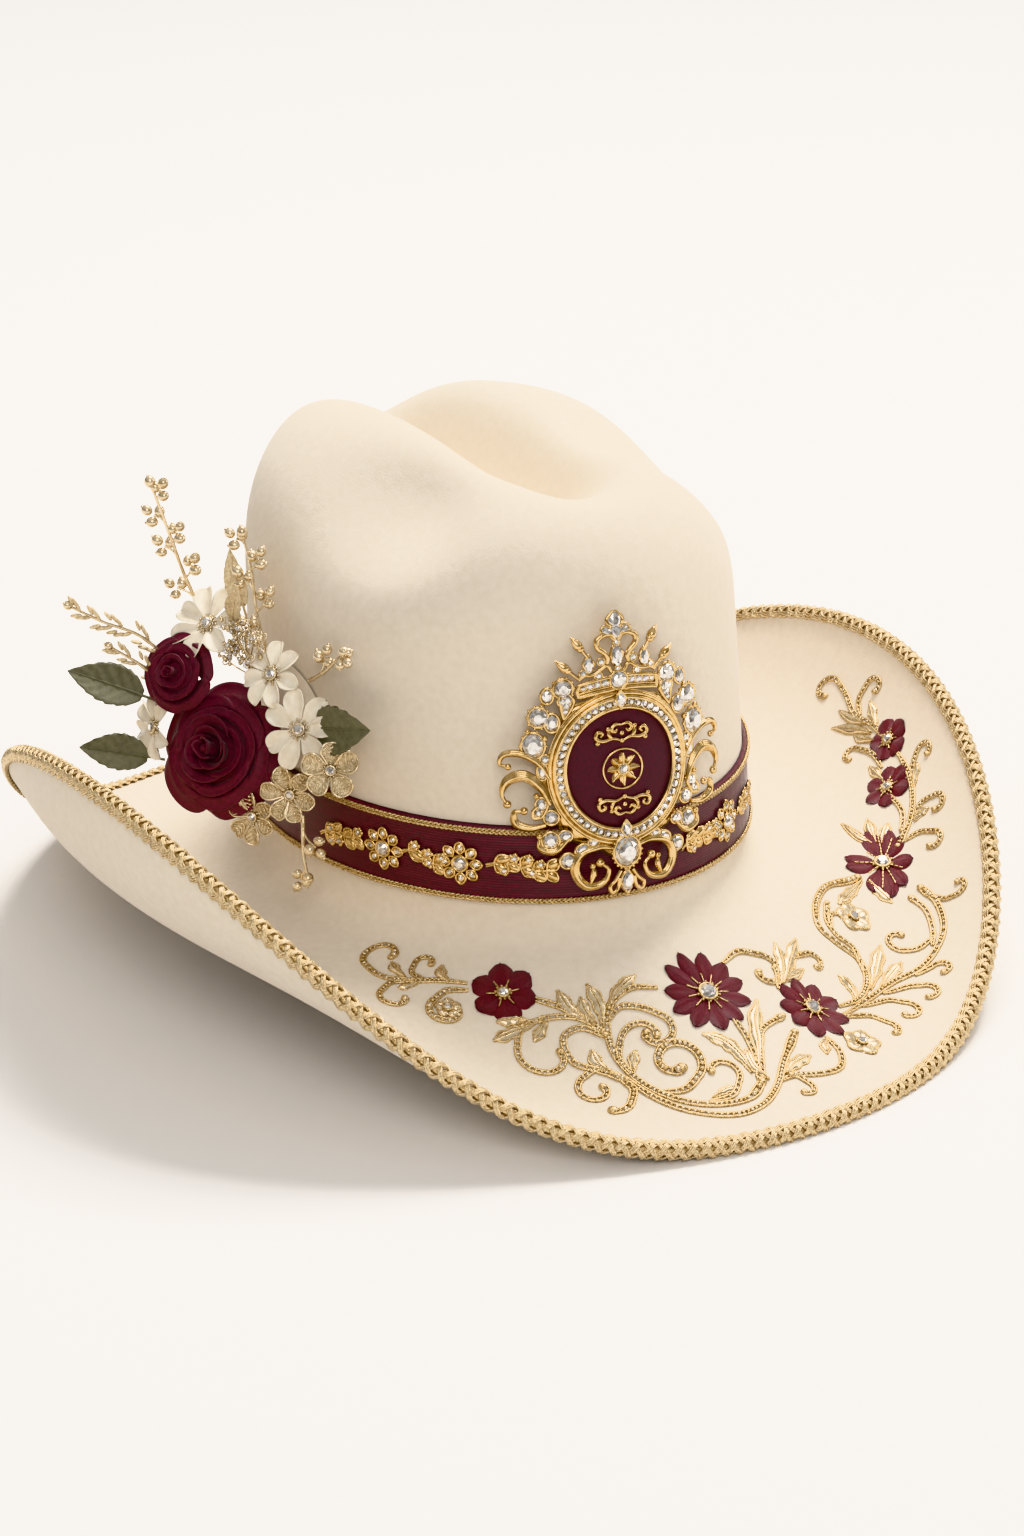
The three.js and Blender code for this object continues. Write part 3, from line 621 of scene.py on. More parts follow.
# %% [markdown]
# ## The felt body
#
# The hat's body is pressed from one piece of fur felt, 3 mm thick, so crown and brim are one mesh.
# Its grid runs from the brim's edge up to the tip of the crown, so its faces point outwards. The
# tight curve where crown and brim meet is a short Bezier, and the rows are closer together over the
# crown's shoulder, where the felt turns fastest. The wall thickness comes from a Solidify modifier,
# inwards from the nap side.

# %% Press the felt
FELT_THICKNESS = 3.0
FILLET_TOP, FILLET_REACH = 10.0, 0.1
CROWN_ROWS, FILLET_ROWS, BRIM_ROWS, ROUND = 72, 8, 58, 216


def eased(share):
    near, far = share**1.4, (1 - share) ** 1.4
    return near / (near + far)


def crown_level(share):
    """Share 0 is the tip and 1 the top of the fillet, with even rows over the shoulder."""
    low = FILLET_TOP / (2 * WALL_HEIGHT)
    if share < 0.62:
        return 0.5 + 0.5 * eased(1 - share / 0.62)
    return 0.5 - (0.5 - low) * (share - 0.62) / 0.38


def felt_point(u, v):
    angle = u * math.tau
    row = (1 - v) * (CROWN_ROWS + FILLET_ROWS + BRIM_ROWS)
    if row <= CROWN_ROWS:
        return crown_point(angle, crown_level(row / CROWN_ROWS))
    if row <= CROWN_ROWS + FILLET_ROWS:
        t = (row - CROWN_ROWS) / FILLET_ROWS
        ends = wall_point(angle, FILLET_TOP), wall_point(angle, 0), brim_point(angle, FILLET_REACH)
        return ends[0] * (1 - t) ** 2 + ends[1] * 2 * t * (1 - t) + ends[2] * t * t
    t = (row - CROWN_ROWS - FILLET_ROWS) / BRIM_ROWS
    return brim_point(angle, FILLET_REACH + (1 - FILLET_REACH) * t)


def press_felt():
    shape = bent_grid(felt_point, ROUND, CROWN_ROWS + FILLET_ROWS + BRIM_ROWS, closed=True)
    piece = make_piece("pressed_felt", shape, ["felt_body"], "felt", [FELT], weld=False)
    thick = piece.modifiers.new("thickness", "SOLIDIFY")
    thick.thickness, thick.offset = FELT_THICKNESS * MM, -1
    return piece


felt = press_felt()
lowest = min(vert.co.z for vert in felt.data.vertices)
print("felt rows:", CROWN_ROWS + FILLET_ROWS + BRIM_ROWS, "lowest point", round(lowest / MM, 1), "mm")

# %% [markdown]
# ## Plaited braids
#
# The edge is bound with a braid of antique gold, and two much finer ones run along the band. A flat
# plait of an odd number of strands has a simple formula: each strand swings from side to side once
# in a turn, and goes over and under its neighbours one time fewer than there are strands. The
# function takes a seat for the plait, so the same code lies flat on the band and folds over the
# brim's edge.

# %% Plait
def plait_paths(place, strands, turns, swing, rise, steps):
    """Paths of a closed plait; place(share round, sideways, lift) lays a point."""
    paths = []
    for strand in range(strands):
        start = math.tau * strand / strands
        path = []
        for step in range(turns * steps):
            share = step / (turns * steps)
            phase = share * turns * math.tau + start
            lift = rise * math.sin((strands - 1) * phase)
            path.append(place(share, swing * math.sin(phase), lift))
        paths.append(path)
    return paths


EDGE_WRAP = {"radius": 2.5, "half_width": 5.6, "thread": 0.55, "rise": 0.6}


def edge_place(share, sideways, lift):
    """Folds a flat braid over the felt's edge: sideways 0 lies on its outermost line."""
    angle = share * math.tau
    end = brim_point(angle, 1)
    outward = (end - brim_point(angle, 0.985)).normalized()
    along = (brim_point(angle + STEP, 1) - end).normalized()
    normal = along.cross(-outward).normalized()
    core = end - normal * FELT_THICKNESS / 2
    radius = EDGE_WRAP["radius"] + lift
    quarter = EDGE_WRAP["radius"] * math.pi / 2
    if abs(sideways) < quarter:
        turn = sideways / EDGE_WRAP["radius"]
        return core + (outward * math.cos(turn) + normal * math.sin(turn)) * radius
    side = 1 if sideways > 0 else -1
    return core + normal * side * radius - outward * (abs(sideways) - quarter)


def bind_edge():
    shape = bmesh.new()
    for beside in (-1, 0, 1):
        def place(share, sideways, lift, offset=beside * 1.7 * EDGE_WRAP["thread"]):
            return edge_place(share, sideways + offset, lift)

        half, rise = EDGE_WRAP["half_width"], EDGE_WRAP["rise"]
        paths = plait_paths(place, strands=5, turns=50, swing=half, rise=rise, steps=20)
        add_cords(shape, paths, EDGE_WRAP["thread"], sides=5, closed=True)
    wide = EDGE_WRAP["half_width"] + 0.3
    bent_grid(lambda u, v: edge_place(u, (1 - 2 * v) * wide, -0.75), 260, 12, shape=shape, material=1)
    return make_piece("edge_braid", shape, ["brim_braid"], "gold_thread", [BRAID_THREAD, GOLD_THREAD])


bind_edge()
print("braid faces:", pieces["edge_braid"])

# %% [markdown]
# ## The band
#
# The hat band is a burgundy satin ribbon sewn tight round the foot of the crown. It's a sheet that
# is stretched on a smooth wall, so a cloth simulation would change nothing but the fine puckers
# where it is sewn, and those are a small ripple in its surface near both edges. Its edges roll down
# to the felt.

# %% Hat band
BAND = {"low": 13.0, "high": 43.0, "rise": 1.6}


def band_point(u, v):
    angle = u * math.tau
    near_edge = min(v, 1 - v) * (BAND["high"] - BAND["low"])
    roll = min(1.0, near_edge / 1.2)
    lift = 0.25 + BAND["rise"] * math.sqrt(max(0.0, 1 - (1 - roll) ** 2))
    pucker = math.sin(angle * 97) + 0.7 * math.sin(angle * 61 + 2) + 0.5 * math.sin(angle * 143)
    lift += 0.06 * pucker * math.exp(-near_edge / 4) + 0.10 * math.sin(angle * 5 + v * 4)
    height = BAND["low"] + v * (BAND["high"] - BAND["low"])
    return crown_seat(math.degrees(angle), height).point(0, 0, lift)


def sew_band():
    shape = bent_grid(band_point, 540, 26, closed=True)
    area = sum(face.calc_area() for face in shape.faces) * MM * MM
    piece = make_piece("satin_band", shape, ["hat_band"], "band_satin", [SATIN])
    width = 0.0325
    return area / width


print("ribbon length:", round(sew_band(), 3), "m")


# %% Gold cords on the band
def band_cord(name, replaces, height):
    def place(share, sideways, lift):
        return crown_seat(share * 360, height + sideways).point(0, 0, 2.35 + lift)

    shape = bmesh.new()
    paths = plait_paths(place, strands=3, turns=112, swing=0.75, rise=0.32, steps=12)
    add_cords(shape, paths, 0.42, sides=6, closed=True)
    return make_piece(name, shape, [replaces], "gold_thread", [GOLD_THREAD])


band_cord("band_cord_lower", "band_cord_bottom", BAND["low"] + 1.9)
band_cord("band_cord_upper", "band_cord_top", BAND["high"] - 1.9)
print("cord faces:", pieces["band_cord_upper"])

# %% [markdown]
# ## Embroidery on the brim
#
# The scrolls are couched work: two gold cords run side by side and small bright stitches cross the
# channel between them. Each scroll is drawn as a real pattern drafter would, as a few stations in
# degrees round the head and shares of the brim's width, joined by a smooth curve. Scrolls usually
# end in a curl, so a curl is a formula of its own: a heading that turns faster and faster.

# %% Scroll paths
THREAD_LIFT = 0.35


def curl_on(stations, turns, radius):
    """Continues a path with a curl: turns is signed, to the left of the way it heads."""
    first, last = stations[-2], stations[-1]
    seat = brim_seat(math.degrees(last[0]), last[1])
    step_x, step_y = seat.per_x, seat.per_y
    heading = math.atan2((last[1] - first[1]) / step_y, (last[0] - first[0]) / step_x)
    x = y = 0.0
    steps = max(8, int(abs(turns) * 26))
    for step in range(steps):
        size = radius * (1 - 0.65 * step / steps)
        heading += math.tau * turns / steps
        stride = math.tau * abs(turns) * size / steps
        x, y = x + stride * math.cos(heading), y + stride * math.sin(heading)
        stations.append(Vector((last[0] + x * step_x, last[1] + y * step_y)))
    return stations


def scroll_path(stations, curl=None, steps=7):
    """Stations are (degrees, share of the brim); the result is points, sideways and normals."""
    flat = smooth_path([(math.radians(degrees), share) for degrees, share in stations], steps)
    if curl:
        flat = curl_on(flat, *curl)
    places = [brim_point(*station) for station in flat]
    path = []
    for step, (station, place) in enumerate(zip(flat, places)):
        ahead = (places[min(step + 1, len(places) - 1)] - places[max(step - 1, 0)]).normalized()
        along = brim_point(station[0] + STEP, station[1]) - place
        inwards = place - brim_point(station[0], station[1] + STEP)
        normal = along.cross(inwards).normalized()
        path.append((place, normal.cross(ahead).normalized(), normal))
    return path


test = scroll_path([(-109, 0.34), (-104, 0.3), (-100, 0.4)], (-0.6, 7))
print("a test scroll has", len(test), "points")

# %% [markdown]
# One function sews a scroll. It widens from a thin start and ends in a round club. The stitches
# are small beads pressed flat, with two dozen faces each, because there are so many.

# %% Sewing a scroll
SCROLL = {"half_width": 0.85, "cord": 0.48, "stitch": 1.55}


def sew_scroll(shape, path, width):
    last = len(path) - 1

    def half(step):
        share = step / last
        swell = 0.35 + 0.65 * math.sin(math.pi * min(0.5, share * 2.2))
        if share > 0.9:
            swell *= 1 + 0.5 * math.sin((share - 0.9) / 0.1 * math.pi)
        return SCROLL["half_width"] * width * swell

    for side in (-1, 1):
        rail = [p + s * side * half(i) + n * THREAD_LIFT for i, (p, s, n) in enumerate(path)]
        add_cords(shape, [rail], SCROLL["cord"], sides=6)
    travelled, due = 0.0, SCROLL["stitch"]
    for step in range(1, last):
        place, sideways, normal = path[step]
        travelled += (place - path[step - 1][0]).length
        if travelled < due:
            continue
        due = travelled + SCROLL["stitch"] * dice.uniform(0.8, 1.2)
        ahead = sideways.cross(normal)
        basis = Matrix((ahead, sideways, normal)).transposed().to_4x4()
        stitch = Matrix.Translation(place + normal * (THREAD_LIFT + 0.2)) @ basis
        stitch = stitch @ Matrix.Rotation(dice.uniform(-0.5, 0.5), 4, "Z")
        size = max(0.35, half(step))
        add_bead(shape, stitch, size, (0.75, 0.95, 0.75), material=1 if dice.random() < 0.5 else 0)
    place, _, normal = path[-1]
    club = Matrix.Translation(place + normal * THREAD_LIFT)
    add_bead(shape, club, 1.5 * width, (1, 1, 0.7), fine=True)


def sew_leaf(shape, stations, width, lobes):
    """A padded leaf along stations, with a corded rim that is notched into lobes."""
    path = scroll_path(stations, steps=6)
    last = len(path) - 1

    def half(share):
        body = math.sin(math.pi * min(1.0, share * 0.55 + 0.5 * share**2.2)) ** 0.7
        return width * max(0.12, body) * (1 + 0.16 * math.sin(share * lobes * math.tau))

    def place(u, v):
        spot = v * last
        low = min(last - 1, int(spot))
        at, sideways, normal = (a.lerp(b, spot - low) for a, b in zip(path[low], path[low + 1]))
        across = 2 * u - 1
        dome = (1 - across**2) * 1.1 - 0.45 * math.exp(-((across * 5) ** 2))
        return at + sideways * across * half(v) + normal * (0.15 + dome * min(1.0, 6 * (1 - v) + 0.2))

    bent_grid(place, 8, 16, shape=shape, material=1)
    rims = [[place(side, step / 18) for step in range(19)] for side in (0.0, 1.0)]
    middle = [place(0.5, step / 18) + path[0][2] * 0.3 for step in range(17)]
    add_cords(shape, rims, 0.42, sides=6)
    add_cords(shape, [middle], 0.3, sides=6)


def sew_vine(name, replaces, scrolls, leaves):
    shape = bmesh.new()
    for stations, curl, width in scrolls:
        sew_scroll(shape, scroll_path(stations, curl), width)
    for leaf in leaves:
        sew_leaf(shape, *leaf)
    return make_piece(name, shape, replaces, "gold_thread", [GOLD_THREAD, BERRY])


# %% [markdown]
# The pattern itself follows. Every row is one scroll or leaf. The numbers are stations in degrees
# round the head and shares of the brim's width, and a curl is its turns and its radius in
# millimetres. A scroll's last number is its width, and a leaf's are its width and its lobes.

# %% The vine at the right end
sew_vine(
    "scrolls_right",
    ["vine_right"],
    [
        ([(-133, 0.21), (-138, 0.22), (-143, 0.25), (-147.5, 0.26), (-151.5, 0.22)], (-0.72, 8), 1.0),
        ([(-142, 0.245), (-145, 0.28), (-145.5, 0.34)], (0.62, 6.5), 0.95),
        ([(-140, 0.23), (-143, 0.21), (-143.5, 0.16)], (-0.6, 4), 0.8),
        ([(-132.5, 0.24), (-136, 0.26), (-137.5, 0.32)], (0.85, 7), 1.2),
    ],
    [
        ([(-143.5, 0.24), (-146, 0.21), (-147.5, 0.18)], 1.8, 2),
        ([(-136, 0.22), (-138, 0.19), (-138.5, 0.15)], 1.8, 2),
        ([(-141, 0.25), (-142.5, 0.28), (-143.5, 0.3)], 1.3, 2),
    ],
)

# %% The vine between the first flower and the middle
sew_vine(
    "scrolls_front_right",
    ["vine_front_right"],
    [
        ([(-122, 0.24), (-116.5, 0.28), (-112.5, 0.34), (-110, 0.41)], None, 1.1),
        ([(-110, 0.4), (-113.5, 0.33), (-118, 0.32), (-123, 0.36)], None, 1.0),
        ([(-119.5, 0.32), (-123, 0.38), (-123.5, 0.47)], (0.62, 11), 1.05),
        ([(-110, 0.42), (-113.5, 0.37), (-116.5, 0.41), (-115.5, 0.52), (-112, 0.57),
          (-108.5, 0.63)], None, 1.1),
        ([(-109.5, 0.6), (-112, 0.56), (-114.3, 0.6)], (0.78, 7), 1.05),
        ([(-109.5, 0.61), (-108, 0.68), (-108.8, 0.75)], (-0.25, 8), 1.4),
    ],
    [
        ([(-112.5, 0.34), (-115, 0.29), (-117, 0.21)], 2.4, 3),
        ([(-111, 0.36), (-112.5, 0.3), (-113, 0.24)], 2.0, 2),
        ([(-110, 0.38), (-110, 0.28), (-111.5, 0.19)], 2.4, 3),
        ([(-122, 0.34), (-124.5, 0.34), (-127, 0.36)], 2.4, 3),
        ([(-121, 0.35), (-124.5, 0.4), (-127, 0.45)], 2.4, 3),
        ([(-119, 0.34), (-120, 0.38), (-121, 0.43)], 1.9, 2),
        ([(-110.5, 0.58), (-112, 0.53), (-112.5, 0.47)], 2.1, 2),
    ],
)

# %% The great scrolls in the middle
sew_vine(
    "scrolls_front",
    ["vine_front_left"],
    [
        ([(-99, 0.25), (-103.5, 0.23), (-107.5, 0.27), (-109.3, 0.35), (-109.5, 0.46), (-108.3, 0.57),
          (-105.8, 0.69), (-102.5, 0.78), (-99, 0.83), (-95, 0.84), (-92, 0.79)], None, 1.2),
        ([(-108.5, 0.62), (-106, 0.73), (-102.5, 0.83), (-98, 0.89), (-94, 0.88), (-90.5, 0.82),
          (-87, 0.73), (-82, 0.63)], None, 1.2),
        ([(-109, 0.35), (-106.5, 0.3), (-103, 0.32), (-100.3, 0.37)], (-0.72, 7.5), 1.15),
        ([(-107.5, 0.61), (-108.6, 0.52), (-107.8, 0.44)], (-0.5, 9), 1.0),
        ([(-104.5, 0.72), (-101.5, 0.73), (-98.8, 0.68)], (0.98, 10.5), 1.5),
        ([(-99.5, 0.81), (-96.5, 0.81), (-94.3, 0.75)], (0.6, 7.5), 0.95),
        ([(-89.5, 0.47), (-89.5, 0.57), (-90.3, 0.67), (-92, 0.78)], None, 1.0),
        ([(-91.5, 0.78), (-89.5, 0.68), (-86.5, 0.57), (-81.5, 0.54)], None, 1.0),
        ([(-89.5, 0.81), (-87.5, 0.81), (-86.8, 0.86)], (-0.5, 4), 0.95),
        ([(-78, 0.7), (-78.6, 0.78), (-81, 0.84), (-84, 0.84), (-88, 0.8)], None, 1.1),
        ([(-78, 0.42), (-76, 0.37), (-75, 0.33)], None, 0.9),
        ([(-84.5, 0.23), (-79.5, 0.21), (-75.5, 0.26)], (-0.75, 8), 1.1),
        ([(-73.5, 0.36), (-69.5, 0.335), (-65.5, 0.36)], (-0.6, 4.5), 1.0),
    ],
    [
        ([(-91.5, 0.75), (-88.5, 0.62), (-86.5, 0.52), (-83.5, 0.43)], 2.6, 3),
        ([(-92.3, 0.74), (-92.2, 0.65), (-93, 0.57), (-95.5, 0.5)], 2.6, 4),
        ([(-91, 0.79), (-91.5, 0.71), (-90.8, 0.63)], 2.0, 3),
        ([(-88.5, 0.79), (-86, 0.76), (-83, 0.75)], 2.4, 3),
        ([(-78.3, 0.71), (-79.5, 0.73), (-80.7, 0.77)], 1.8, 2),
        ([(-77, 0.41), (-73, 0.34), (-70, 0.25)], 2.4, 3),
        ([(-76.5, 0.41), (-70.5, 0.34), (-64.5, 0.29)], 2.4, 3),
        ([(-75.5, 0.4), (-73, 0.4), (-69.5, 0.4)], 1.8, 2),
        ([(-107.2, 0.6), (-106.8, 0.55), (-106, 0.5)], 1.8, 2),
        ([(-108.8, 0.3), (-106, 0.23), (-102, 0.18)], 2.2, 3),
        ([(-99, 0.8), (-97, 0.78), (-95.5, 0.78)], 1.5, 3),
    ],
)

# %% The vine that climbs to the long flower
sew_vine(
    "scrolls_left_front",
    ["vine_left_front"],
    [
        ([(-70.5, 0.61), (-65.5, 0.64), (-60.5, 0.61), (-57.5, 0.53), (-57.3, 0.42), (-56.5, 0.33),
          (-51, 0.29), (-44, 0.32), (-39, 0.45)], None, 1.25),
        ([(-59.5, 0.58), (-56, 0.5), (-55.5, 0.41), (-53.5, 0.35), (-49, 0.33)], None, 0.9),
        ([(-71.5, 0.65), (-64.5, 0.67), (-59, 0.71), (-55, 0.79), (-51.5, 0.83), (-48, 0.84),
          (-44, 0.8), (-41, 0.73)], None, 1.1),
        ([(-51, 0.81), (-48.5, 0.8), (-45, 0.76), (-42.5, 0.69)], None, 0.9),
        ([(-56.5, 0.78), (-54.3, 0.84)], (-0.6, 4), 0.95),
        ([(-62, 0.7), (-59, 0.77), (-58, 0.83)], (-0.55, 5), 1.0),
        ([(-67, 0.67), (-63, 0.73), (-62, 0.8)], (-0.6, 5.5), 1.0),
        ([(-71.5, 0.66), (-68, 0.72), (-67.3, 0.8)], (-0.35, 5), 1.05),
        ([(-42.5, 0.77), (-43.8, 0.83), (-43.8, 0.88)], (0.55, 4), 0.9),
        ([(-49.5, 0.81), (-51.5, 0.76), (-52.3, 0.7)], (-0.62, 6), 1.0),
        ([(-54.8, 0.38), (-51.5, 0.36), (-49.5, 0.4)], None, 0.7),
    ],
    [
        ([(-66.5, 0.64), (-64.5, 0.58), (-64, 0.51)], 2.2, 3),
        ([(-62.5, 0.65), (-57.5, 0.62), (-52.5, 0.6)], 2.6, 3),
        ([(-61, 0.68), (-57.5, 0.69), (-54.5, 0.71)], 2.4, 3),
        ([(-39.5, 0.5), (-41.5, 0.55), (-43.5, 0.61)], 2.4, 3),
        ([(-39.5, 0.47), (-43.5, 0.42), (-47.5, 0.38)], 2.2, 3),
    ],
)

# %% The vine beside the small flowers
sew_vine(
    "scrolls_left_back",
    ["vine_left_back"],
    [
        ([(-16.5, 0.77), (-21.5, 0.77), (-25.5, 0.75), (-29, 0.71), (-32.5, 0.64)], None, 0.95),
        ([(-22, 0.66), (-26.5, 0.69), (-30, 0.67)], None, 0.85),
        ([(-24.5, 0.76), (-21.3, 0.79), (-19.8, 0.83)], (-0.62, 4.5), 0.9),
        ([(-28.5, 0.73), (-27.3, 0.78), (-27.8, 0.84)], (-0.6, 4.5), 0.95),
        ([(-32, 0.67), (-31.7, 0.74), (-33, 0.81)], (-0.6, 4.5), 0.95),
        ([(-17, 0.69), (-13.5, 0.69), (-10.3, 0.66)], (0.6, 4), 0.9),
        ([(-13, 0.76), (-9, 0.76), (-5.5, 0.75), (-2, 0.79), (1, 0.82)], (0.68, 6), 0.95),
        ([(-6.5, 0.76), (-4.5, 0.8), (-4.3, 0.86)], (-0.65, 4.5), 0.9),
    ],
    [
        ([(-10.5, 0.74), (-7.5, 0.71), (-3.5, 0.66)], 2.2, 2),
        ([(-8.5, 0.75), (-5.5, 0.73), (-2.5, 0.73)], 1.9, 1),
        ([(-10.5, 0.77), (-8.5, 0.79), (-6.5, 0.82)], 1.9, 2),
        ([(-12, 0.73), (-10, 0.7), (-8, 0.69)], 1.7, 2),
        ([(-19.5, 0.67), (-17.5, 0.66), (-15, 0.65)], 1.8, 2),
        ([(-24, 0.77), (-22.3, 0.79), (-21.3, 0.82)], 1.7, 2),
        ([(-29.5, 0.73), (-28.8, 0.76), (-28.8, 0.8)], 1.7, 2),
        ([(-31, 0.53), (-28.5, 0.48), (-24.5, 0.43)], 2.1, 1),
        ([(-31, 0.55), (-28, 0.54), (-25, 0.54)], 1.9, 2),
        ([(-31.5, 0.57), (-29.5, 0.59), (-27.5, 0.62)], 2.1, 3),
    ],
)
print("vines:", [name for name in pieces if name.startswith("scrolls")])

# %% [markdown]
# ## Stitched flowers
#
# The burgundy flowers are satin stitch over padding. A petal is a bent grid: its outline comes from
# a width formula with a scalloped tip, its section is a cushion with a groove along the middle, and
# the thread group gives the fine slanted stitches. Where petals meet there is a short gold stitch.

# %% Petals and flower centres
PETAL_START, PETAL_GROOVE = 0.1, 0.35


def petal_grid(shape, matrix, lay, length, width, puff=1.1, scallops=3, material=0):
    """lay maps a flat point with a lift to the felt; matrix places the petal in the pattern."""

    def place(u, v):
        across = 2 * u - 1
        swell = math.sin(v * math.pi / 2)
        reach = PETAL_START + (1 - PETAL_START) * swell
        body = (0.3 + 0.7 * smooth(0, 0.6, swell)) * math.sqrt(max(0.0, 1 - swell**9))
        ripple = 1 + 0.03 * math.cos(across * scallops * math.pi) * v
        x = across * 0.5 * width * body
        y = length * reach * (1 - 0.10 * across**2 * v) * ripple
        lift = puff * (1 - abs(across) ** 2.4) * (0.45 + 0.55 * math.sin(math.pi * min(1, v * 1.05)))
        lift -= PETAL_GROOVE * puff * math.exp(-((across * 4.5) ** 2)) * (1 - v)
        flat = matrix @ Vector((x, y, 0))
        return lay(flat.x, flat.y, 0.12 + max(0.0, lift))

    bent_grid(place, 12, 14, shape=shape, material=material)


def sew_flower(name, replaces, degrees, reach, radius, petals, stone, turn):
    seat = brim_seat(degrees, reach)
    shape = bmesh.new()
    broad = 4.6 * radius / petals
    for petal in range(petals):
        way = turn + math.tau * (petal + 0.12 * dice.uniform(-1, 1)) / petals
        size = radius * dice.uniform(0.93, 1.04)
        matrix = Matrix.Rotation(way, 4, "Z")
        petal_grid(shape, matrix, seat.point, size, broad)
        between = Matrix.Rotation(way + math.pi / petals, 4, "Z")
        stitch = [between @ Vector((0, radius * share, 0)) for share in (0.2, 0.33, 0.46)]
        add_cords(shape, [[seat.point(p.x, p.y, 0.9) for p in stitch]], 0.3, sides=6, material=1)
    bezel = seat.matrix(0, 0, 1.3)
    add_cords(shape, [ring_path(bezel, stone, steps=20)], 0.55, sides=6, closed=True, material=1)
    for bead in range(10):
        way = math.tau * bead / 10
        spot = seat.matrix((stone + 0.9) * math.cos(way), (stone + 0.9) * math.sin(way), 1.1)
        add_bead(shape, spot, 0.55, material=1)
    add_stone(shape, seat.matrix(0, 0, 1.5), stone * 0.95, material=2)
    return make_piece(name, shape, replaces, "burgundy_thread", [PETAL_THREAD, GOLD_THREAD, CRYSTAL])


sew_flower("flower_right", ["brim_flower_right"], -126.5, 0.235, 13.0, 6, 1.9, turn=0.3)
sew_flower("flower_front", ["brim_flower_front", "brim_flower_front_stone"],
           -91, 0.33, 17.5, 11, 3.4, turn=0.1)
sew_flower("flower_left_front", ["brim_flower_left_front", "brim_flower_left_front_stone"],
           -75.3, 0.56, 15.0, 9, 2.8, turn=0.4)
sew_flower("flower_left_middle", ["brim_flower_left_middle"], -21, 0.67, 10.5, 6, 1.9, turn=0.2)
sew_flower("flower_left_back", ["brim_flower_left_back"], -14, 0.77, 10.0, 5, 1.9, turn=0.5)

# %% [markdown]
# The long flower isn't regular: two pairs of long pointed petals reach sideways, a double petal
# stands at the top and a short one at the bottom, with rows of gold stitches between them.

# %% The long flower
def sew_long_flower():
    seat = brim_seat(-35.5, 0.565)
    shape = bmesh.new()
    # angle from the pattern's up in degrees, length and width of each petal
    rows = (
        (100, 20, 8.0), (78, 18, 8.5), (124, 16, 7.0), (-78, 21, 8.0), (-101, 19, 8.0), (-124, 15, 7.0),
        (14, 15, 8.5), (-14, 15, 8.5), (176, 12, 8.0),
    )
    for degrees, length, width in rows:
        way = Matrix.Rotation(math.radians(degrees), 4, "Z")
        petal_grid(shape, way, seat.point, length, width, scallops=5)
    for degrees, reach in ((89, 13), (-89, 14), (112, 11), (-112, 11), (0, 8), (50, 6), (-50, 6), (150, 7)):
        way = Matrix.Rotation(math.radians(degrees), 4, "Z")
        for row in range(int(reach / 2)):
            ends = [way @ Vector((0, 3.4 + 2 * row + more, 0)) for more in (0.0, 0.7, 1.4)]
            add_cords(shape, [[seat.point(p.x, p.y, 1.1) for p in ends]], 0.32, sides=6, material=1)
    add_cords(shape, [ring_path(seat.matrix(0, 0, 1.4), 2.9, steps=20)], 0.6, closed=True, material=1)
    for bead in range(10):
        way = math.tau * bead / 10
        add_bead(shape, seat.matrix(3.8 * math.cos(way), 3.8 * math.sin(way), 1.1), 0.6, material=1)
    add_stone(shape, seat.matrix(0, 0, 1.6), 2.8, material=2)
    replaced = ["brim_flower_left", "brim_flower_left_stone"]
    finishes = [PETAL_THREAD, GOLD_THREAD, CRYSTAL]
    return make_piece("flower_left", shape, replaced, "burgundy_thread", finishes)


sew_long_flower()
print("faces of the long flower:", pieces["flower_left"])

# %% [markdown]
# Between the burgundy flowers there are little gold florets with one stone. They're made like the
# leaves: a corded outline round a padded lobe.

# %% Florets
def sew_floret(name, replaces, degrees, reach, radius, lobes, stone):
    seat = brim_seat(degrees, reach)
    shape = bmesh.new()
    spread = radius * math.sin(math.pi / lobes)
    for lobe in range(lobes):
        way = Matrix.Rotation(math.tau * lobe / lobes + 0.3, 4, "Z")
        petal_grid(shape, way, seat.point, radius, 1.9 * spread, puff=1.2, material=1)
        outline = []
        for step in range(15):
            turn = math.pi * step / 14
            side = 0.75 * spread * math.cos(turn) * (1.3 - 0.3 * math.sin(turn))
            flat = way @ Vector((side, radius * (0.35 + 0.68 * math.sin(turn)), 0))
            outline.append(seat.point(flat.x, flat.y, 0.5))
        add_cords(shape, [outline], 0.45, sides=6)
    add_cords(shape, [ring_path(seat.matrix(0, 0, 1.3), stone, steps=16)], 0.45, closed=True)
    add_stone(shape, seat.matrix(0, 0, 1.4), stone, material=2)
    return make_piece(name, shape, replaces, "gold_thread", [GOLD_THREAD, BERRY, CRYSTAL])


sew_floret("gold_floret_right", ["floret_right"], -134.8, 0.34, 4.5, 5, 1.6)
sew_floret("gold_floret_left", ["floret_left"], -49, 0.455, 7.0, 5, 1.9)
sew_floret("gold_floret_front", [], -74.3, 0.79, 7.0, 5, 1.9)
print("florets:", pieces["gold_floret_left"], "faces each")

# %% [markdown]
# ## The medallion
#
# The medallion is a casting with set stones: an oval of velvet in a double gold rim that holds a
# ring of square stones, a tiara on top, stone clusters at both sides, and leaf scrolls below. It's
# flat in its own pattern and bent to the crown, so each part is laid through the same seat. In the
# pattern x is across and y is up, from the middle of the oval, in millimetres. The casting came out
# a little smaller than its pattern, so the seat is scaled.

# %% Laying metal on the crown
def front_wall(angle, reach):
    """The front by length along the felt, which is more than height where the shoulder leans in."""
    return wall_point(angle, reach - 0.0062 * max(0.0, reach - 88) ** 2)


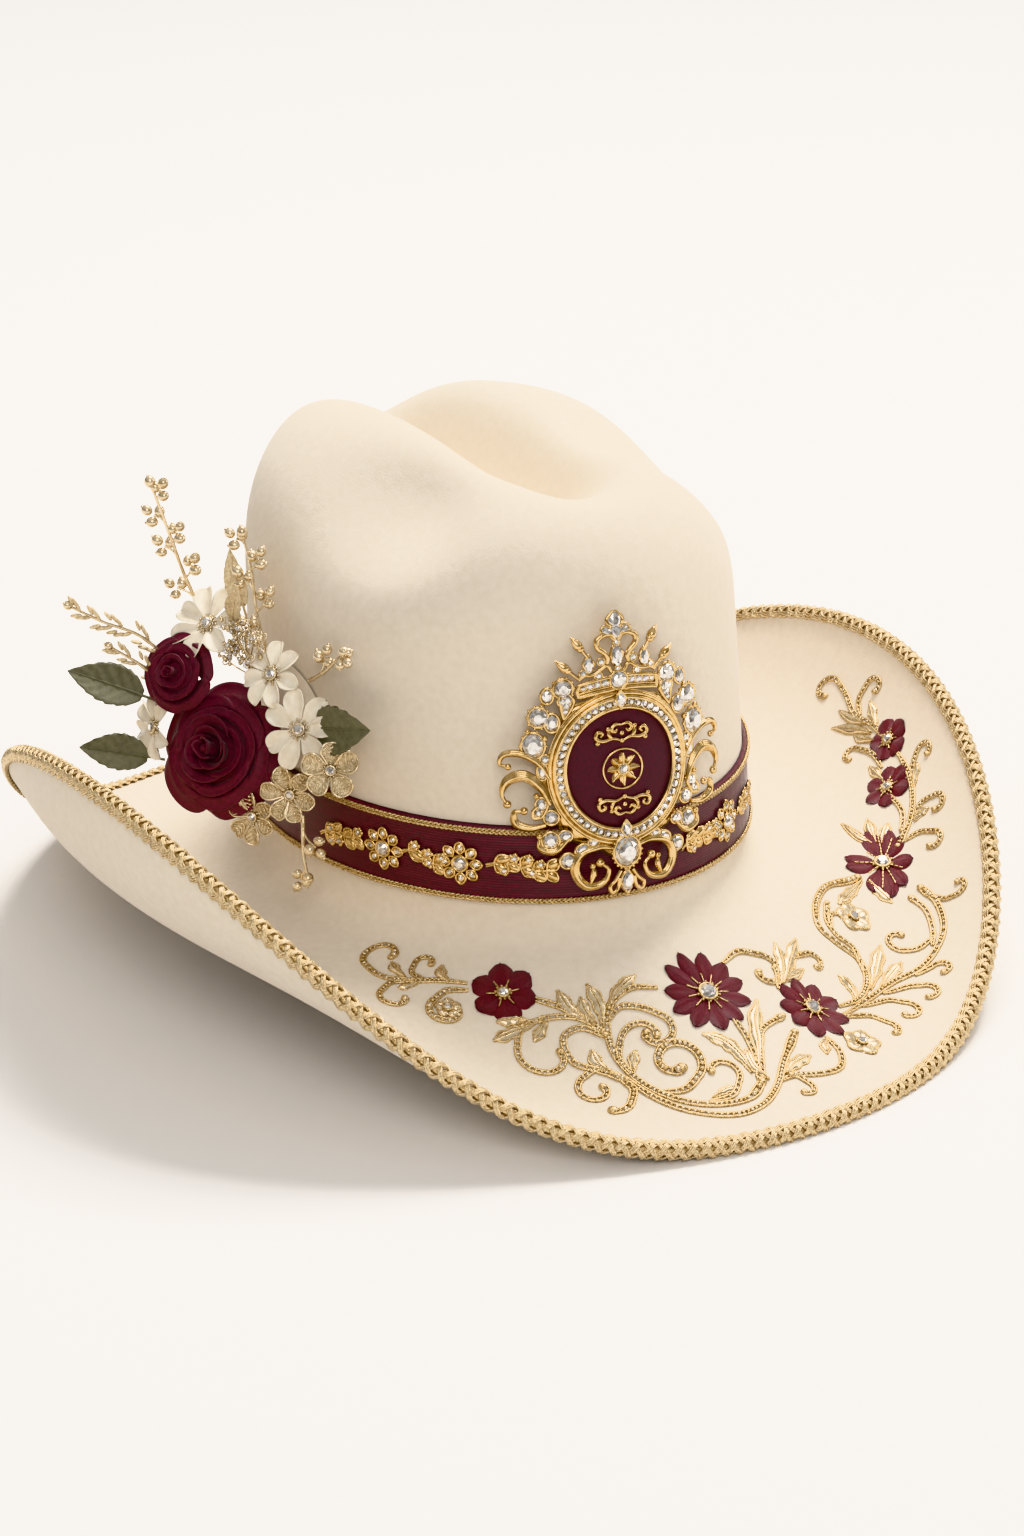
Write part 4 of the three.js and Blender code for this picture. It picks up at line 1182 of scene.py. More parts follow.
MEDALLION = Seat(front_wall, -100.5, 64.5, 1)
MEDALLION.per_x *= 0.86
MEDALLION.per_y *= 0.93
PLAQUE = (22.2, 24.2)
RIM = (27.6, 29.6)


def on_medal(points, lift=6.5):
    return [MEDALLION.point(x, y, lift) for x, y in points]


def oval(width, height, steps=72):
    turns = [math.tau * step / steps for step in range(steps)]
    return [(width * math.cos(turn), height * math.sin(turn)) for turn in turns]


def on_side(side, points):
    """Side 1 keeps a drawing and -1 mirrors it."""
    return [(side * x, y) for x, y in points]


def set_stone(shape, x, y, radius, stretch=(1, 1), turn=0.0, lift=6.4, claws=0, bezel=0.55):
    """A stone in a bezel, with beads round it if claws are given."""
    seat = MEDALLION.matrix(x, y, lift, turn)
    wide, high = stretch
    rim = radius + bezel * 0.6
    add_cords(shape, [ring_path(seat, rim * wide, rim * high, 24)], bezel, sides=6, closed=True)
    cup = MEDALLION.matrix(x, y, lift - 0.6, turn)
    add_bead(shape, cup, radius, (wide, high, 0.35), fine=True)
    stone_seat = MEDALLION.matrix(x, y, lift + 0.35, turn)
    add_stone(shape, stone_seat, radius, stretch, material=1, sides=10 if radius > 3 else 8)
    out = radius + bezel * 1.5
    for claw in range(claws):
        way = math.tau * claw / claws
        spot = Vector((out * wide * math.cos(way), out * high * math.sin(way), 0.1))
        add_bead(shape, seat @ Matrix.Translation(spot), 0.62)


def kite_stone(shape, x, y, width, height, lift=6.6):
    """A pointed stone in a frame that comes to a tip above and below."""
    middle = y + 0.1 * height
    corners = [(x, y + height), (x + width, middle), (x, y - height), (x - width, middle)]
    outline = [Vector(corner) for corner in corners]
    rounded = []
    for start, end in zip(outline, outline[1:] + outline[:1]):
        rounded += [start.lerp(end, share) for share in (0.12, 0.5, 0.88)]
    add_cords(shape, [on_medal(rounded, lift)], 0.6, sides=6, closed=True)
    cup = MEDALLION.matrix(x, y, lift - 0.6)
    add_bead(shape, cup, 1, (width * 0.9, height * 0.8, 0.6), fine=True)
    stone_seat = MEDALLION.matrix(x, y, lift + 0.3)
    add_stone(shape, stone_seat, 0.8, (width, height * 0.95), material=1, sides=6, height=1.4)
    for place in ((x, y + height), (x, y - height)):
        add_bead(shape, MEDALLION.matrix(*place, lift), 0.75)


print("the plaque is", 2 * PLAQUE[0], "by", 2 * PLAQUE[1], "mm")

# %% [markdown]
# The plate behind everything is one thin casting, a grid bent to the crown, just wide enough to
# carry the clusters. The velvet oval is a shallow cushion: a padded disc whose edge goes under the
# rim.

# %% Back plate and velvet
def disc(place, rings=14, round_steps=64):
    """A disc from a bent grid: u runs round and v from the middle out."""
    return bent_grid(place, round_steps, rings, closed=True)


def make_plate():
    def place(u, v):
        turn = u * math.tau
        lobes = 1 + 0.05 * math.cos(8 * turn) - 0.06 * math.sin(turn)
        edge = 4.9 - 1.2 * smooth(0.9, 1.0, v)
        return MEDALLION.point(30.5 * v * lobes * math.cos(turn), 34.5 * v * lobes * math.sin(turn), edge)

    shape = disc(place)
    bmesh.ops.recalc_face_normals(shape, faces=shape.faces[:])
    wall(shape, 0.9)
    return make_piece("back_plate", shape, ["medallion_backing"], "gold_metal", [GOLD])


def make_velvet():
    def place(u, v):
        turn = u * math.tau
        lift = 5.6 + 1.5 * math.sqrt(max(0.0, 1 - v**6))
        width, height = (1.04 * v * half for half in PLAQUE)
        return MEDALLION.point(width * math.cos(turn), height * math.sin(turn), lift)

    piece = make_piece("velvet_plaque", disc(place), ["medallion_plaque"], "plaque_velvet", [VELVET])
    return piece


make_plate()
make_velvet()
print("velvet faces:", pieces["velvet_plaque"])

# %% [markdown]
# The rim is cast in steps: a thin inner wire, a channel with the stones and a heavier outer wire.
# The square stones are many, so each is a plain cut cone of a few faces.

# %% Rim and its stones
RIM_STONES = 52


def make_rim():
    shape = bmesh.new()
    for width, height, thick, lift in (
        (PLAQUE[0] + 0.4, PLAQUE[1] + 0.4, 0.85, 7.2), (RIM[0] - 1.0, RIM[1] - 1.0, 0.8, 7.2),
        (RIM[0] + 0.6, RIM[1] + 0.6, 0.95, 6.6),
    ):
        add_cords(shape, [on_medal(oval(width, height), lift)], thick, sides=8, closed=True)

    def channel(u, v):
        turn, share = u * math.tau, v * 1.3
        out = PLAQUE[0] + 0.2 + share * (RIM[0] - PLAQUE[0]), PLAQUE[1] + 0.2 + share * (RIM[1] - PLAQUE[1])
        return MEDALLION.point(out[0] * math.cos(turn), out[1] * math.sin(turn), 6.5)

    bent_grid(channel, 96, 3, closed=True, shape=shape)
    return make_piece("oval_rim", shape, ["medallion_rim"], "gold_metal", [GOLD])


def make_rim_stones():
    shape = bmesh.new()
    out = (PLAQUE[0] + RIM[0] - 0.4) / 2, (PLAQUE[1] + RIM[1] - 0.4) / 2
    for number in range(RIM_STONES):
        turn = math.tau * (number + 0.5) / RIM_STONES
        x, y = out[0] * math.cos(turn), out[1] * math.sin(turn)
        facing = math.atan2(y / out[1] ** 2, x / out[0] ** 2)
        seat = MEDALLION.matrix(x, y, 7.1, facing + math.pi / 4)
        add_stone(shape, seat, 1.55, material=1, sides=4, height=0.75)
        between = math.tau * number / RIM_STONES
        spot = MEDALLION.matrix(out[0] * math.cos(between), out[1] * math.sin(between), 7.3)
        for side in (-1.2, 1.2):
            bead = spot @ Matrix.Rotation(between, 4, "Z")
            add_bead(shape, bead @ Matrix.Translation((side, 0, 0)), 0.45)
    return make_piece("rim_stones", shape, ["medallion_rim_stones"], "crystal", [GOLD, CRYSTAL])


make_rim()
make_rim_stones()
print("stones in the rim:", RIM_STONES)

# %% [markdown]
# The velvet carries a plain gold ornament: a rosette in the middle, with a scrolled spray above and
# one below. Each is couched cord on the cushion.

# %% Ornament on the velvet
def make_ornament():
    centre = bmesh.new()
    for petal in range(8):
        way = Matrix.Rotation(math.tau * petal / 8, 4, "Z")

        def place(u, v):
            across = 2 * u - 1
            width = 1.45 * math.sin(0.2 + 2.7 * v) ** 0.8
            flat = way @ Vector((across * width, 1.6 + 4.9 * v, 0))
            return MEDALLION.point(flat.x, flat.y, 7.2 + 0.8 * (1 - across**2))

        bent_grid(place, 6, 8, shape=centre)
        rays = [way @ Vector((0, reach, 0)) for reach in (1.8, 4.2, 6.6)]
        add_cords(centre, [on_medal([(p.x, p.y) for p in rays], 8.0)], 0.35, sides=6)
    add_cords(centre, [on_medal(oval(8.0, 8.0, 40), 7.4)], 0.4, sides=6, closed=True)
    set_stone(centre, 0, 0, 1.7, lift=7.8, claws=8)
    make_piece("rosette", centre, ["plaque_rosette"], "gold_metal", [GOLD, CRYSTAL])
    rows = (1, "spray_above", "plaque_leaves_upper"), (-1, "spray_below", "plaque_leaves_lower")
    for side, name, replaced in rows:
        shape = bmesh.new()
        stem = [(0, 11.2), (3.5, 12.6), (7.6, 12.0), (10.4, 13.4), (9.6, 15.8), (7.6, 15.0), (8.6, 13.8)]
        inner = [(0, 17.8), (2.6, 18.2), (4.2, 16.4), (2.8, 15.2), (1.8, 16.2)]
        leaf = [(3.8, 12.6), (5.2, 14.2), (5.4, 16.4)]
        for drawn in (stem, inner, leaf):
            upright = [(x, y * side) for x, y in drawn]
            for hand in (1, -1):
                path = on_medal(smooth_path(on_side(hand, upright), 6), 7.6)
                add_cords(shape, [path], 0.62, sides=6,
                          radii=lambda share: 0.65 + 0.7 * math.sin(math.pi * share))
        for x, y in ((0, 11.4), (0, 14.4), (5.4, 16.6), (-5.4, 16.6), (9.8, 11.4), (-9.8, 11.4)):
            add_bead(shape, MEDALLION.matrix(x, y * side, 7.6), 0.95, (1, 1, 0.7), fine=True)
        make_piece(name, shape, [replaced], "gold_metal", [GOLD])


make_ornament()
print("rosette faces:", pieces["rosette"])

# %% [markdown]
# The tiara is wirework with stones: a curved band with a row of stones, four spear points, two
# heart loops round a long stone, and a finial of three stones and a drop.

# %% Tiara
def arc_y(x, height):
    """The tiara's band follows the top of the rim."""
    return height * math.sqrt(1 - (x / 46) ** 2)


def spear(shape, base, tip):
    """A pointed bud on a short stem with a collar."""
    base, tip = Vector(base), Vector(tip)
    way = (tip - base).normalized()
    reach = (tip - base).length
    stations = [base + way * reach * share for share in (0, 0.45, 0.5, 0.62, 0.8, 1.0)]
    widths = (0.7, 0.75, 1.35, 1.75, 1.2, 0.15)
    path = smooth_path([(*spot, 0) for spot in stations], 4)
    grow = smooth_path([(w, 0, 0) for w in widths], 4)

    def radii(share):
        return grow[min(len(grow) - 1, int(round(share * (len(grow) - 1))))].x

    add_cords(shape, [on_medal([(p.x, p.y) for p in path], 6.8)], 1.0, sides=8, radii=radii)
    add_bead(shape, MEDALLION.matrix(*(base + way * reach * 0.48), 6.8), 1.5, (1, 1, 0.9), fine=True)


def make_tiara():
    shape = bmesh.new()
    xs = [-16 + 32 * step / 28 for step in range(29)]
    for height, thick in ((32.4, 0.85), (33.9, 0.45), (38.0, 0.75)):
        add_cords(shape, [on_medal([(x, arc_y(x, height)) for x in xs], 6.9)], thick, sides=8)

    def band(u, v):
        x = -16 + 32 * u
        return MEDALLION.point(x, arc_y(x, 32.4 + 5.6 * v), 6.4)

    bent_grid(band, 28, 3, shape=shape)
    for side in (-1, 1):
        for x, radius, wide in ((5.2, 1.15, 1.5), (8.6, 1.3, 1), (11.6, 1.1, 1.3), (14.2, 0.9, 1)):
            set_stone(shape, side * x, arc_y(x, 35.9), radius, (wide, 1), lift=6.8, bezel=0.35)
        ends = on_side(side, [(x, arc_y(16, y)) for x, y in ((16, 32.4), (16.6, 35.2), (15.8, 38.2))])
        add_cords(shape, [on_medal(ends, 6.9)], 0.8, sides=8)
        spear(shape, (side * 15.6, 38.5), (side * 24.6, 47.6))
        spear(shape, (side * 11.2, 47.2), (side * 18.2, 59.0))
        kite_stone(shape, side * 11.6, 44.6, 2.3, 4.4)
        brace = on_side(side, [(15.8, 38.2), (13.2, 40.2), (11.6, 39.6)])
        add_cords(shape, [on_medal(smooth_path(brace), 6.9)], 0.75, sides=8)
        loop = on_side(side, [(0.4, 55.8), (2.0, 58.4), (5.0, 58.6), (8.0, 56.2), (7.8, 52.4),
                              (5.4, 49.8), (4.0, 47.0), (4.4, 44.4)])
        add_cords(shape, [on_medal(smooth_path(loop, 6), 7.0)], 0.95, sides=8,
                  radii=lambda share: 0.7 + 0.5 * math.sin(math.pi * share))
        swag = on_side(side, [(2.6, 40.4), (4.4, 43.4), (7.2, 41.8), (9.4, 40.2), (11.6, 39.8)])
        add_cords(shape, [on_medal(smooth_path(swag, 6), 6.9)], 0.75, sides=8)
        set_stone(shape, side * 8.0, 39.4, 1.25, lift=6.8, bezel=0.4)
        set_stone(shape, side * 14.0, 40.8, 1.1, lift=6.8, bezel=0.4)
        set_stone(shape, side * 6.6, 45.6, 1.2, lift=6.8, bezel=0.4)
    set_stone(shape, 0, 36.4, 3.0, lift=7.2, claws=12)
    kite_stone(shape, 0, 47.6, 2.9, 5.6)
    set_stone(shape, 0, 41.4, 0.9, lift=6.9, bezel=0.4)
    set_stone(shape, 0, 54.2, 0.95, lift=6.9, bezel=0.4)
    make_piece("tiara", shape, ["medallion_tiara"], "gold_metal", [GOLD, CRYSTAL])
    finial = bmesh.new()
    set_stone(finial, 0, 59.6, 2.3, (0.9, 1.15), lift=6.9)
    for side in (-1, 1):
        set_stone(finial, side * 3.7, 60.4, 1.7, (1.1, 0.85), turn=side * 0.4, lift=6.8)
        sepal = on_side(side, [(0.6, 62.4), (3.0, 64.2), (3.4, 67.0), (1.6, 70.0), (0.2, 71.8)])
        add_cords(finial, [on_medal(smooth_path(sepal), 6.9)], 0.65, sides=6)
    add_stone(finial, MEDALLION.matrix(0, 66.4, 7.0), 2.3, (1, 1.5), material=1, sides=8)
    add_bead(finial, MEDALLION.matrix(0, 66.4, 6.3), 2.3, (1, 1.5, 0.3), fine=True)
    return make_piece("finial", finial, ["tiara_finial"], "gold_metal", [GOLD, CRYSTAL])


make_tiara()
print("tiara faces:", pieces["tiara"])

# %% [markdown]
# Each side of the rim carries a cluster of set stones and three leaf scrolls. A scroll casting is a
# tapered cord along a hooked path, with thinner ones laid beside it as the veins of an acanthus
# leaf. Both sides mirror each other.

# %% Side clusters and scrolls
def leaf_scroll(shape, points, thick, veins):
    """A hooked acanthus leaf: parallel ribs that share a root and a curled end."""
    path = smooth_path([(*point, 0) for point in points], 7)
    last = len(path) - 1
    for vein in range(-veins, veins + 1):
        rib = []
        for step, spot in enumerate(path):
            ahead = (path[min(last, step + 1)] - path[max(0, step - 1)]).normalized()
            spread = math.sin(math.pi * min(1, step / last * 1.15)) if step / last < 0.87 else 0.0
            off = Vector((-ahead.y, ahead.x)) * vein * thick * 0.75 * spread
            rib.append((spot.x + off.x, spot.y + off.y))
        size = thick * (1 - 0.22 * abs(vein))
        add_cords(shape, [on_medal(rib, 6.6 + 0.5 * (1 - abs(vein) / (veins + 1)))], size, sides=6,
                  radii=lambda share: 0.45 + 0.75 * math.sin(math.pi * min(1.0, 0.12 + share * 0.85)))
    end = path[-1]
    add_bead(shape, MEDALLION.matrix(end.x, end.y, 6.9), thick * 1.5, (1, 1, 0.8), fine=True)


def pave_leaf(shape, root, tip, width, stones):
    """A teardrop frame from root to tip, with stones that grow towards the tip."""
    root, tip = Vector(root), Vector(tip)
    way = tip - root
    side = Vector((-way.y, way.x)).normalized()
    for hand in (-1, 1):
        out = side * hand * width
        edge = [root, root + way * 0.45 + out * 0.75, root + way * 0.8 + out, tip + out * 0.4,
                tip + way * 0.06]
        add_cords(shape, [on_medal([(p.x, p.y) for p in smooth_path(edge)], 6.6)], 0.7, sides=6)
    for number in range(stones):
        share = (number + 0.8) / stones
        spot = root + way * (0.12 + 0.72 * share)
        set_stone(shape, spot.x, spot.y, width * (0.34 + 0.36 * share), lift=6.5, bezel=0.4)


def make_cluster(name, replaced, side):
    shape = bmesh.new()
    for (x, y), radius, stretch in (
        ((21.8, 34.6), 3.3, (1, 1)), ((28.0, 31.6), 2.2, (0.9, 1.15)), ((31.6, 23.0), 3.3, (1, 1.05)),
        ((34.0, 11.6), 4.2, (0.95, 1.1)), ((26.6, 20.6), 2.4, (1, 1.3)), ((29.8, 6.0), 1.5, (1, 1)),
        ((31.0, 1.2), 1.9, (0.85, 1.5)), ((28.4, -17.6), 2.4, (1, 1)), ((31.8, -12.2), 1.9, (1, 1.2)),
        ((22.2, 29.2), 1.5, (1, 1)), ((29.0, -27.0), 3.0, (1, 1)), ((23.4, -25.4), 1.8, (1.2, 1)),
    ):
        set_stone(shape, side * x, y, radius, stretch, claws=10 if radius > 3 else 0)
    pave_leaf(shape, *on_side(side, [(22.0, 22.0), (20.0, 31.5)]), 2.5, 3)
    pave_leaf(shape, *on_side(side, [(28.6, -10.0), (34.6, -17.2)]), 2.0, 2)
    for points, thick, veins in (
        ([(28.2, -2.0), (32.2, 4.6), (38.4, 8.4), (44.6, 8.2), (46.6, 4.6), (43.6, 3.2)], 0.85, 1),
        ([(28.6, -12.0), (32.0, -5.0), (37.6, -0.4), (43.6, -2.2), (46.2, -7.4), (44.4, -12.0)], 1.05, 2),
        ([(30.6, -20.4), (36.6, -21.6), (41.6, -19.6), (41.8, -15.2), (38.4, -14.6)], 1.0, 1),
    ):
        leaf_scroll(shape, on_side(side, points), thick, veins)
    for x, y in ((29.6, 14.6), (30.2, 27.2), (35.8, 17.4), (33.6, -8.6)):
        add_bead(shape, MEDALLION.matrix(side * x, y, 6.5), 1.15, fine=True)
    return make_piece(name, shape, [replaced], "gold_metal", [GOLD, CRYSTAL])


make_cluster("side_scrolls_right", "scroll_frame_right", -1)
make_cluster("side_scrolls_left", "scroll_frame_left", 1)
print("cluster faces:", pieces["side_scrolls_left"])

# %% Base scrolls and the great stone
def make_base():
    shape = bmesh.new()
    for side in (-1, 1):
        for points, thick in (
            ([(5.6, -31.8), (10.8, -30.8), (18.0, -33.2), (20.4, -40.0), (16.4, -46.2), (10.0, -45.6),
              (7.4, -40.6), (10.6, -37.2)], 1.15),
            ([(14.6, -45.4), (13.2, -41.4), (13.6, -38.4)], 0.8),
            ([(22.0, -26.2), (27.6, -31.2), (33.2, -29.6), (33.0, -25.0)], 0.85),
        ):
            leaf_scroll(shape, on_side(side, points), thick, 1)
        set_stone(shape, side * 22.8, -35.6, 2.6)
        set_stone(shape, side * 17.2, -31.2, 1.7, (1.4, 0.9), turn=side * -0.5)
        set_stone(shape, side * 12.6, -28.8, 1.5, (1.3, 0.9), turn=side * -0.3)
        loop = on_side(side, [(2.4, -41.6), (4.6, -45.2), (7.0, -47.8), (6.0, -50.4), (3.8, -48.6),
                              (3.0, -44.6)])
        add_cords(shape, [on_medal(smooth_path(loop), 6.6)], 0.85, sides=8)
    kite_stone(shape, 0, -24.6, 2.3, 3.6, lift=8.0)
    kite_stone(shape, 0, 28.0, 2.3, 3.6, lift=8.0)
    make_piece("base_scrolls", shape, ["scroll_frame_base"], "gold_metal", [GOLD, CRYSTAL])
    stone = bmesh.new()
    set_stone(stone, 0, -33.6, 5.0, (0.95, 1.1), lift=7.6, claws=22, bezel=0.7)
    kite_stone(stone, 0, -46.4, 3.0, 5.4, lift=6.8)
    return make_piece("great_stone", stone, ["medallion_base_stone"], "crystal", [GOLD, CRYSTAL])


make_base()
print("base scroll faces:", pieces["base_scrolls"])

# %% [markdown]
# ## Applique on the band
#
# The band carries the same kind of work as the medallion but finer: flowers of eight stones round a
# larger one, on a gold stem with leaf loops and small rosettes. It's laid through one seat on the
# band for each flower or stem.

# %% Band flowers
BAND_MIDDLE = (BAND["low"] + BAND["high"]) / 2


def band_flower(name, replaced, degrees):
    seat = crown_seat(degrees, BAND_MIDDLE)
    shape = bmesh.new()
    for petal in range(8):
        way = Matrix.Rotation(math.tau * petal / 8, 4, "Z")
        drop = [way @ Vector(point) for point in
                ((0, 3.4, 0), (1.7, 5.0, 0), (1.5, 6.8, 0), (0, 8.0, 0), (-1.5, 6.8, 0), (-1.7, 5.0, 0))]
        closed = smooth_path([*drop, drop[0]], 3)
        add_cords(shape, [[seat.point(p.x, p.y, 2.9) for p in closed]], 0.45, sides=6)
        spot = way @ Vector((0, 5.7, 0))
        turn = math.tau * petal / 8
        add_bead(shape, seat.matrix(spot.x, spot.y, 2.7, turn), 1.5, (0.9, 1.3, 0.4), fine=True)
        add_stone(shape, seat.matrix(spot.x, spot.y, 3.1, turn), 1.0, (0.9, 1.25), material=1)
    add_cords(shape, [ring_path(seat.matrix(0, 0, 3.4), 2.9, steps=20)], 0.55, closed=True)
    add_bead(shape, seat.matrix(0, 0, 2.9), 2.8, (1, 1, 0.4), fine=True)
    add_stone(shape, seat.matrix(0, 0, 3.6), 2.5, material=1, sides=10)
    return make_piece(name, shape, [replaced], "gold_metal", [GOLD, CRYSTAL])


for part, degrees in (("right", -154), ("front", -136.5), ("left", -67)):
    band_flower("band_blossom_" + part, "band_flower_" + part, degrees)
print("a band flower has", pieces["band_blossom_front"], "faces")


# %% Band sprigs
def leaf_loop(shape, seat, x, y, heading, length, rosette):
    """A small leaf of bent wire beside the stem, or a rosette with a stone on its tip."""
    way = Matrix.Translation((x, y, 0)) @ Matrix.Rotation(heading, 4, "Z")
    width = 0.36 * length
    drop = [way @ Vector(point) for point in
            ((0, 0, 0), (width, 0.45 * length, 0), (0.6 * width, 0.85 * length, 0), (0, length, 0),
             (-0.6 * width, 0.85 * length, 0), (-width, 0.45 * length, 0), (0, 0, 0))]
    add_cords(shape, [[seat.point(p.x, p.y, 2.8) for p in smooth_path(drop, 3)]], 0.5, sides=6)
    middle = way @ Vector((0, 0.6 * length, 0))
    add_bead(shape, seat.matrix(middle.x, middle.y, 2.7, heading), width, (0.8, 1.3, 0.5), fine=True)
    if rosette:
        tip = way @ Vector((0, 0.72 * length, 0))
        for lobe in range(5):
            turn = math.tau * lobe / 5
            spot = seat.matrix(tip.x + 1.5 * math.cos(turn), tip.y + 1.5 * math.sin(turn), 3.0)
            add_bead(shape, spot, 0.95, (1, 1, 0.7))
        add_stone(shape, seat.matrix(tip.x, tip.y, 3.4), 0.95, material=1)


def band_sprig(name, replaced, middle, length, lean=0.0):
    seat = crown_seat(middle, BAND_MIDDLE)
    shape = bmesh.new()
    half = length / 2

    def stem(share):
        return (share - 0.5) * length, lean * (share - 0.5) + 1.2 * math.sin(share * math.tau)

    path = [seat.point(*stem(step / 24), 2.7) for step in range(25)]
    add_cords(shape, [path], 0.55, sides=6)
    add_cords(shape, [[seat.point(x, y + 0.9 * math.cos(3.1 * x / half), 2.6) for x, y in
                       (stem(step / 24) for step in range(25))]], 0.36, sides=6)
    count = max(2, round(length / 5.0))
    for number in range(count):
        x, y = stem((number + 0.6) / (count + 0.2))
        for side in (-1, 1):
            heading = side * dice.uniform(-1.15, -0.7) + (0 if side > 0 else math.pi)
            leaf_loop(shape, seat, x, y, heading, dice.uniform(4.6, 6.4), dice.random() < 0.45)
    return make_piece(name, shape, replaced, "gold_metal", [GOLD, CRYSTAL])


band_sprig("band_spray_right", ["band_sprig_right"], -145.2, 15, -2)
band_sprig("band_spray_front", ["band_sprig_front"], -123.5, 24, -1)
band_sprig("band_spray_left", ["band_sprig_left"], -78.5, 18, 3)
band_sprig("band_spray_far_right", [], -165.5, 20, 5)
band_sprig("band_spray_far_left", [], -55.5, 18, 2)
print("sprigs:", len([name for name in pieces if "band_spray" in name]))

# %% [markdown]
# ## The corsage
#
# The corsage is wired to a small felt pad on the wearer's right side. Everything in it is made flat
# round an origin and then faced outwards, so we need one function that builds that placing matrix.

# %% Facing outwards
OUTWARD = (-0.8, -0.4, 0.45)


def facing(at, way=OUTWARD, turn=0.0):
    spin = Vector(way).to_track_quat("Z", "Y").to_matrix().to_4x4()
    return Matrix.Translation(at) @ spin @ Matrix.Rotation(turn, 4, "Z")


def make_pad():
    seat = crown_seat(178, 64)

    def place(u, v):
        turn = u * math.tau
        lift = 0.7 + 2.6 * math.sqrt(max(0.0, 1 - v**5))
        return seat.point(22 * v * math.cos(turn), 20 * v * math.sin(turn), lift)

    piece = make_piece("felt_pad", disc(place, rings=10, round_steps=40), ["corsage_pad"], "felt", [FELT])
    return piece


make_pad()
print("the corsage faces", [round(part, 2) for part in Vector(OUTWARD).normalized()])

# %% [markdown]
# A rose is one petal made again and again. Each petal is a bent grid that starts at the middle,
# stands up, and rolls over at its lip. The inner ones are narrow, upright and wrapped round the
# heart; the outer ones are wide and lie open.

# %% Roses
def rose_petal(shape, matrix, size, ring, way):
    """Ring 0 is the heart and 1 the outermost petals."""
    half = 1.9 - 1.15 * ring
    foot, rim = size * (0.02 + 0.42 * ring), size * (0.13 + 0.82 * ring)
    height = size * (0.56 - 0.22 * ring)
    wave, offset = dice.uniform(0.015, 0.045), dice.uniform(0, 6)
    tip = dice.uniform(-0.05, 0.05)

    def place(u, v):
        across = 2 * u - 1
        reach = v * (1 - 0.22 * abs(across) ** 3)
        turn = way + across * half * (0.55 + 0.45 * math.sin(1.75 * reach))
        spread = foot + (rim - foot) * reach**0.6 + size * (0.02 + 0.12 * ring) * smooth(0.8, 1.0, reach)
        spread += size * wave * math.sin(3.4 * across + offset) * reach
        spiral = size * 0.035 * across * (1 - ring)
        rise = (height + tip * size * across) * reach**1.7
        rise -= size * (0.02 + 0.22 * ring) * smooth(0.72, 1.0, reach)
        flat = (spread + spiral) * math.cos(turn), (spread + spiral) * math.sin(turn)
        return matrix @ Vector((*flat, rise - size * 0.30 * ring))

    bent_grid(place, 20, 16, shape=shape)


def make_rose(name, at, size, rings, turn):
    """Rings lists the number of petals in each ring, from the heart out."""
    shape = bmesh.new()
    matrix = facing(at, turn=turn)
    for number, count in enumerate(rings):
        ring = number / (len(rings) - 1)
        for petal in range(count):
            angle = math.tau * (petal + 0.37 * number + dice.uniform(-0.08, 0.08)) / count
            rose_petal(shape, matrix, size, ring, angle)
    wall(shape, 0.45)
    add_bead(shape, matrix @ Matrix.Translation((0, 0, -0.16 * size)), 0.66 * size, (1, 1, 0.3), fine=True)
    add_bead(shape, matrix @ Matrix.Translation((0, 0, 0.2 * size)), 0.11 * size, (1, 1, 2.6), fine=True)
    return make_piece(name, shape, [name], "rose_fabric", [ROSE])


make_rose("rose_large", (-117, 12, 55), 23.5, (2, 3, 3, 4, 5, 5), turn=0.5)
make_rose("rose_small", (-121, 33, 80), 13.5, (3, 4, 5, 6), turn=1.4)
for key in ("rose_large", "rose_small"):
    print(key, pieces[key], "faces")

# %% [markdown]
# The cream flowers have seven cupped cloth petals round a beaded stone. The gold ones are the same
# shape in filigree: a wire round each petal, with rows of fine wire across a gilt ground.

# %% Open flowers
def cloth_petal(shape, matrix, way, start, length, width, cup, wires=False):
    turned = matrix @ Matrix.Rotation(way, 4, "Z")
    bend, lean = dice.uniform(0.8, 1.2) * cup, dice.uniform(-0.06, 0.06)

    def place(u, v):
        across, reach = 2 * u - 1, math.sin(v * math.pi / 2)
        body = (0.30 + 0.70 * smooth(0, 0.62, reach)) * math.sqrt(max(0.0, 1 - reach**7))
        x = across * 0.5 * width * body + lean * length * reach
        y = start + (length - start) * reach * (1 - 0.05 * (1 - across**2) * smooth(0.8, 1, reach))
        z = length * (0.26 * reach - bend * reach**2 + 0.20 * across**2 * body)
        z += 0.035 * length * math.cos(across * 9) * reach * (1 - reach)
        return turned @ Vector((x, y, z))

    bent_grid(place, 10, 12, shape=shape, material=0)
    if not wires:
        return
    edge = [place(0, step / 10) for step in range(11)] + [place(1, 1 - step / 10) for step in range(11)]
    add_cords(shape, [edge], 0.42, sides=6, material=1)
    rungs = []
    for row in (0.2, 0.34, 0.48, 0.62):
        raised = turned.to_3x3() @ Vector((0, 0, 0.3))
        rungs.append([place(u, row + 0.08 * math.cos(6.28 * u)) + raised
                      for u in (0.08, 0.3, 0.5, 0.7, 0.92)])
    add_cords(shape, rungs, 0.26, sides=5, material=1)
    for row in (0.28, 0.44, 0.60):
        spot = turned.to_3x3() @ Vector((0, 0, 0.5))
        add_bead(shape, Matrix.Translation(place(0.5, row) + spot), 0.55, material=1)


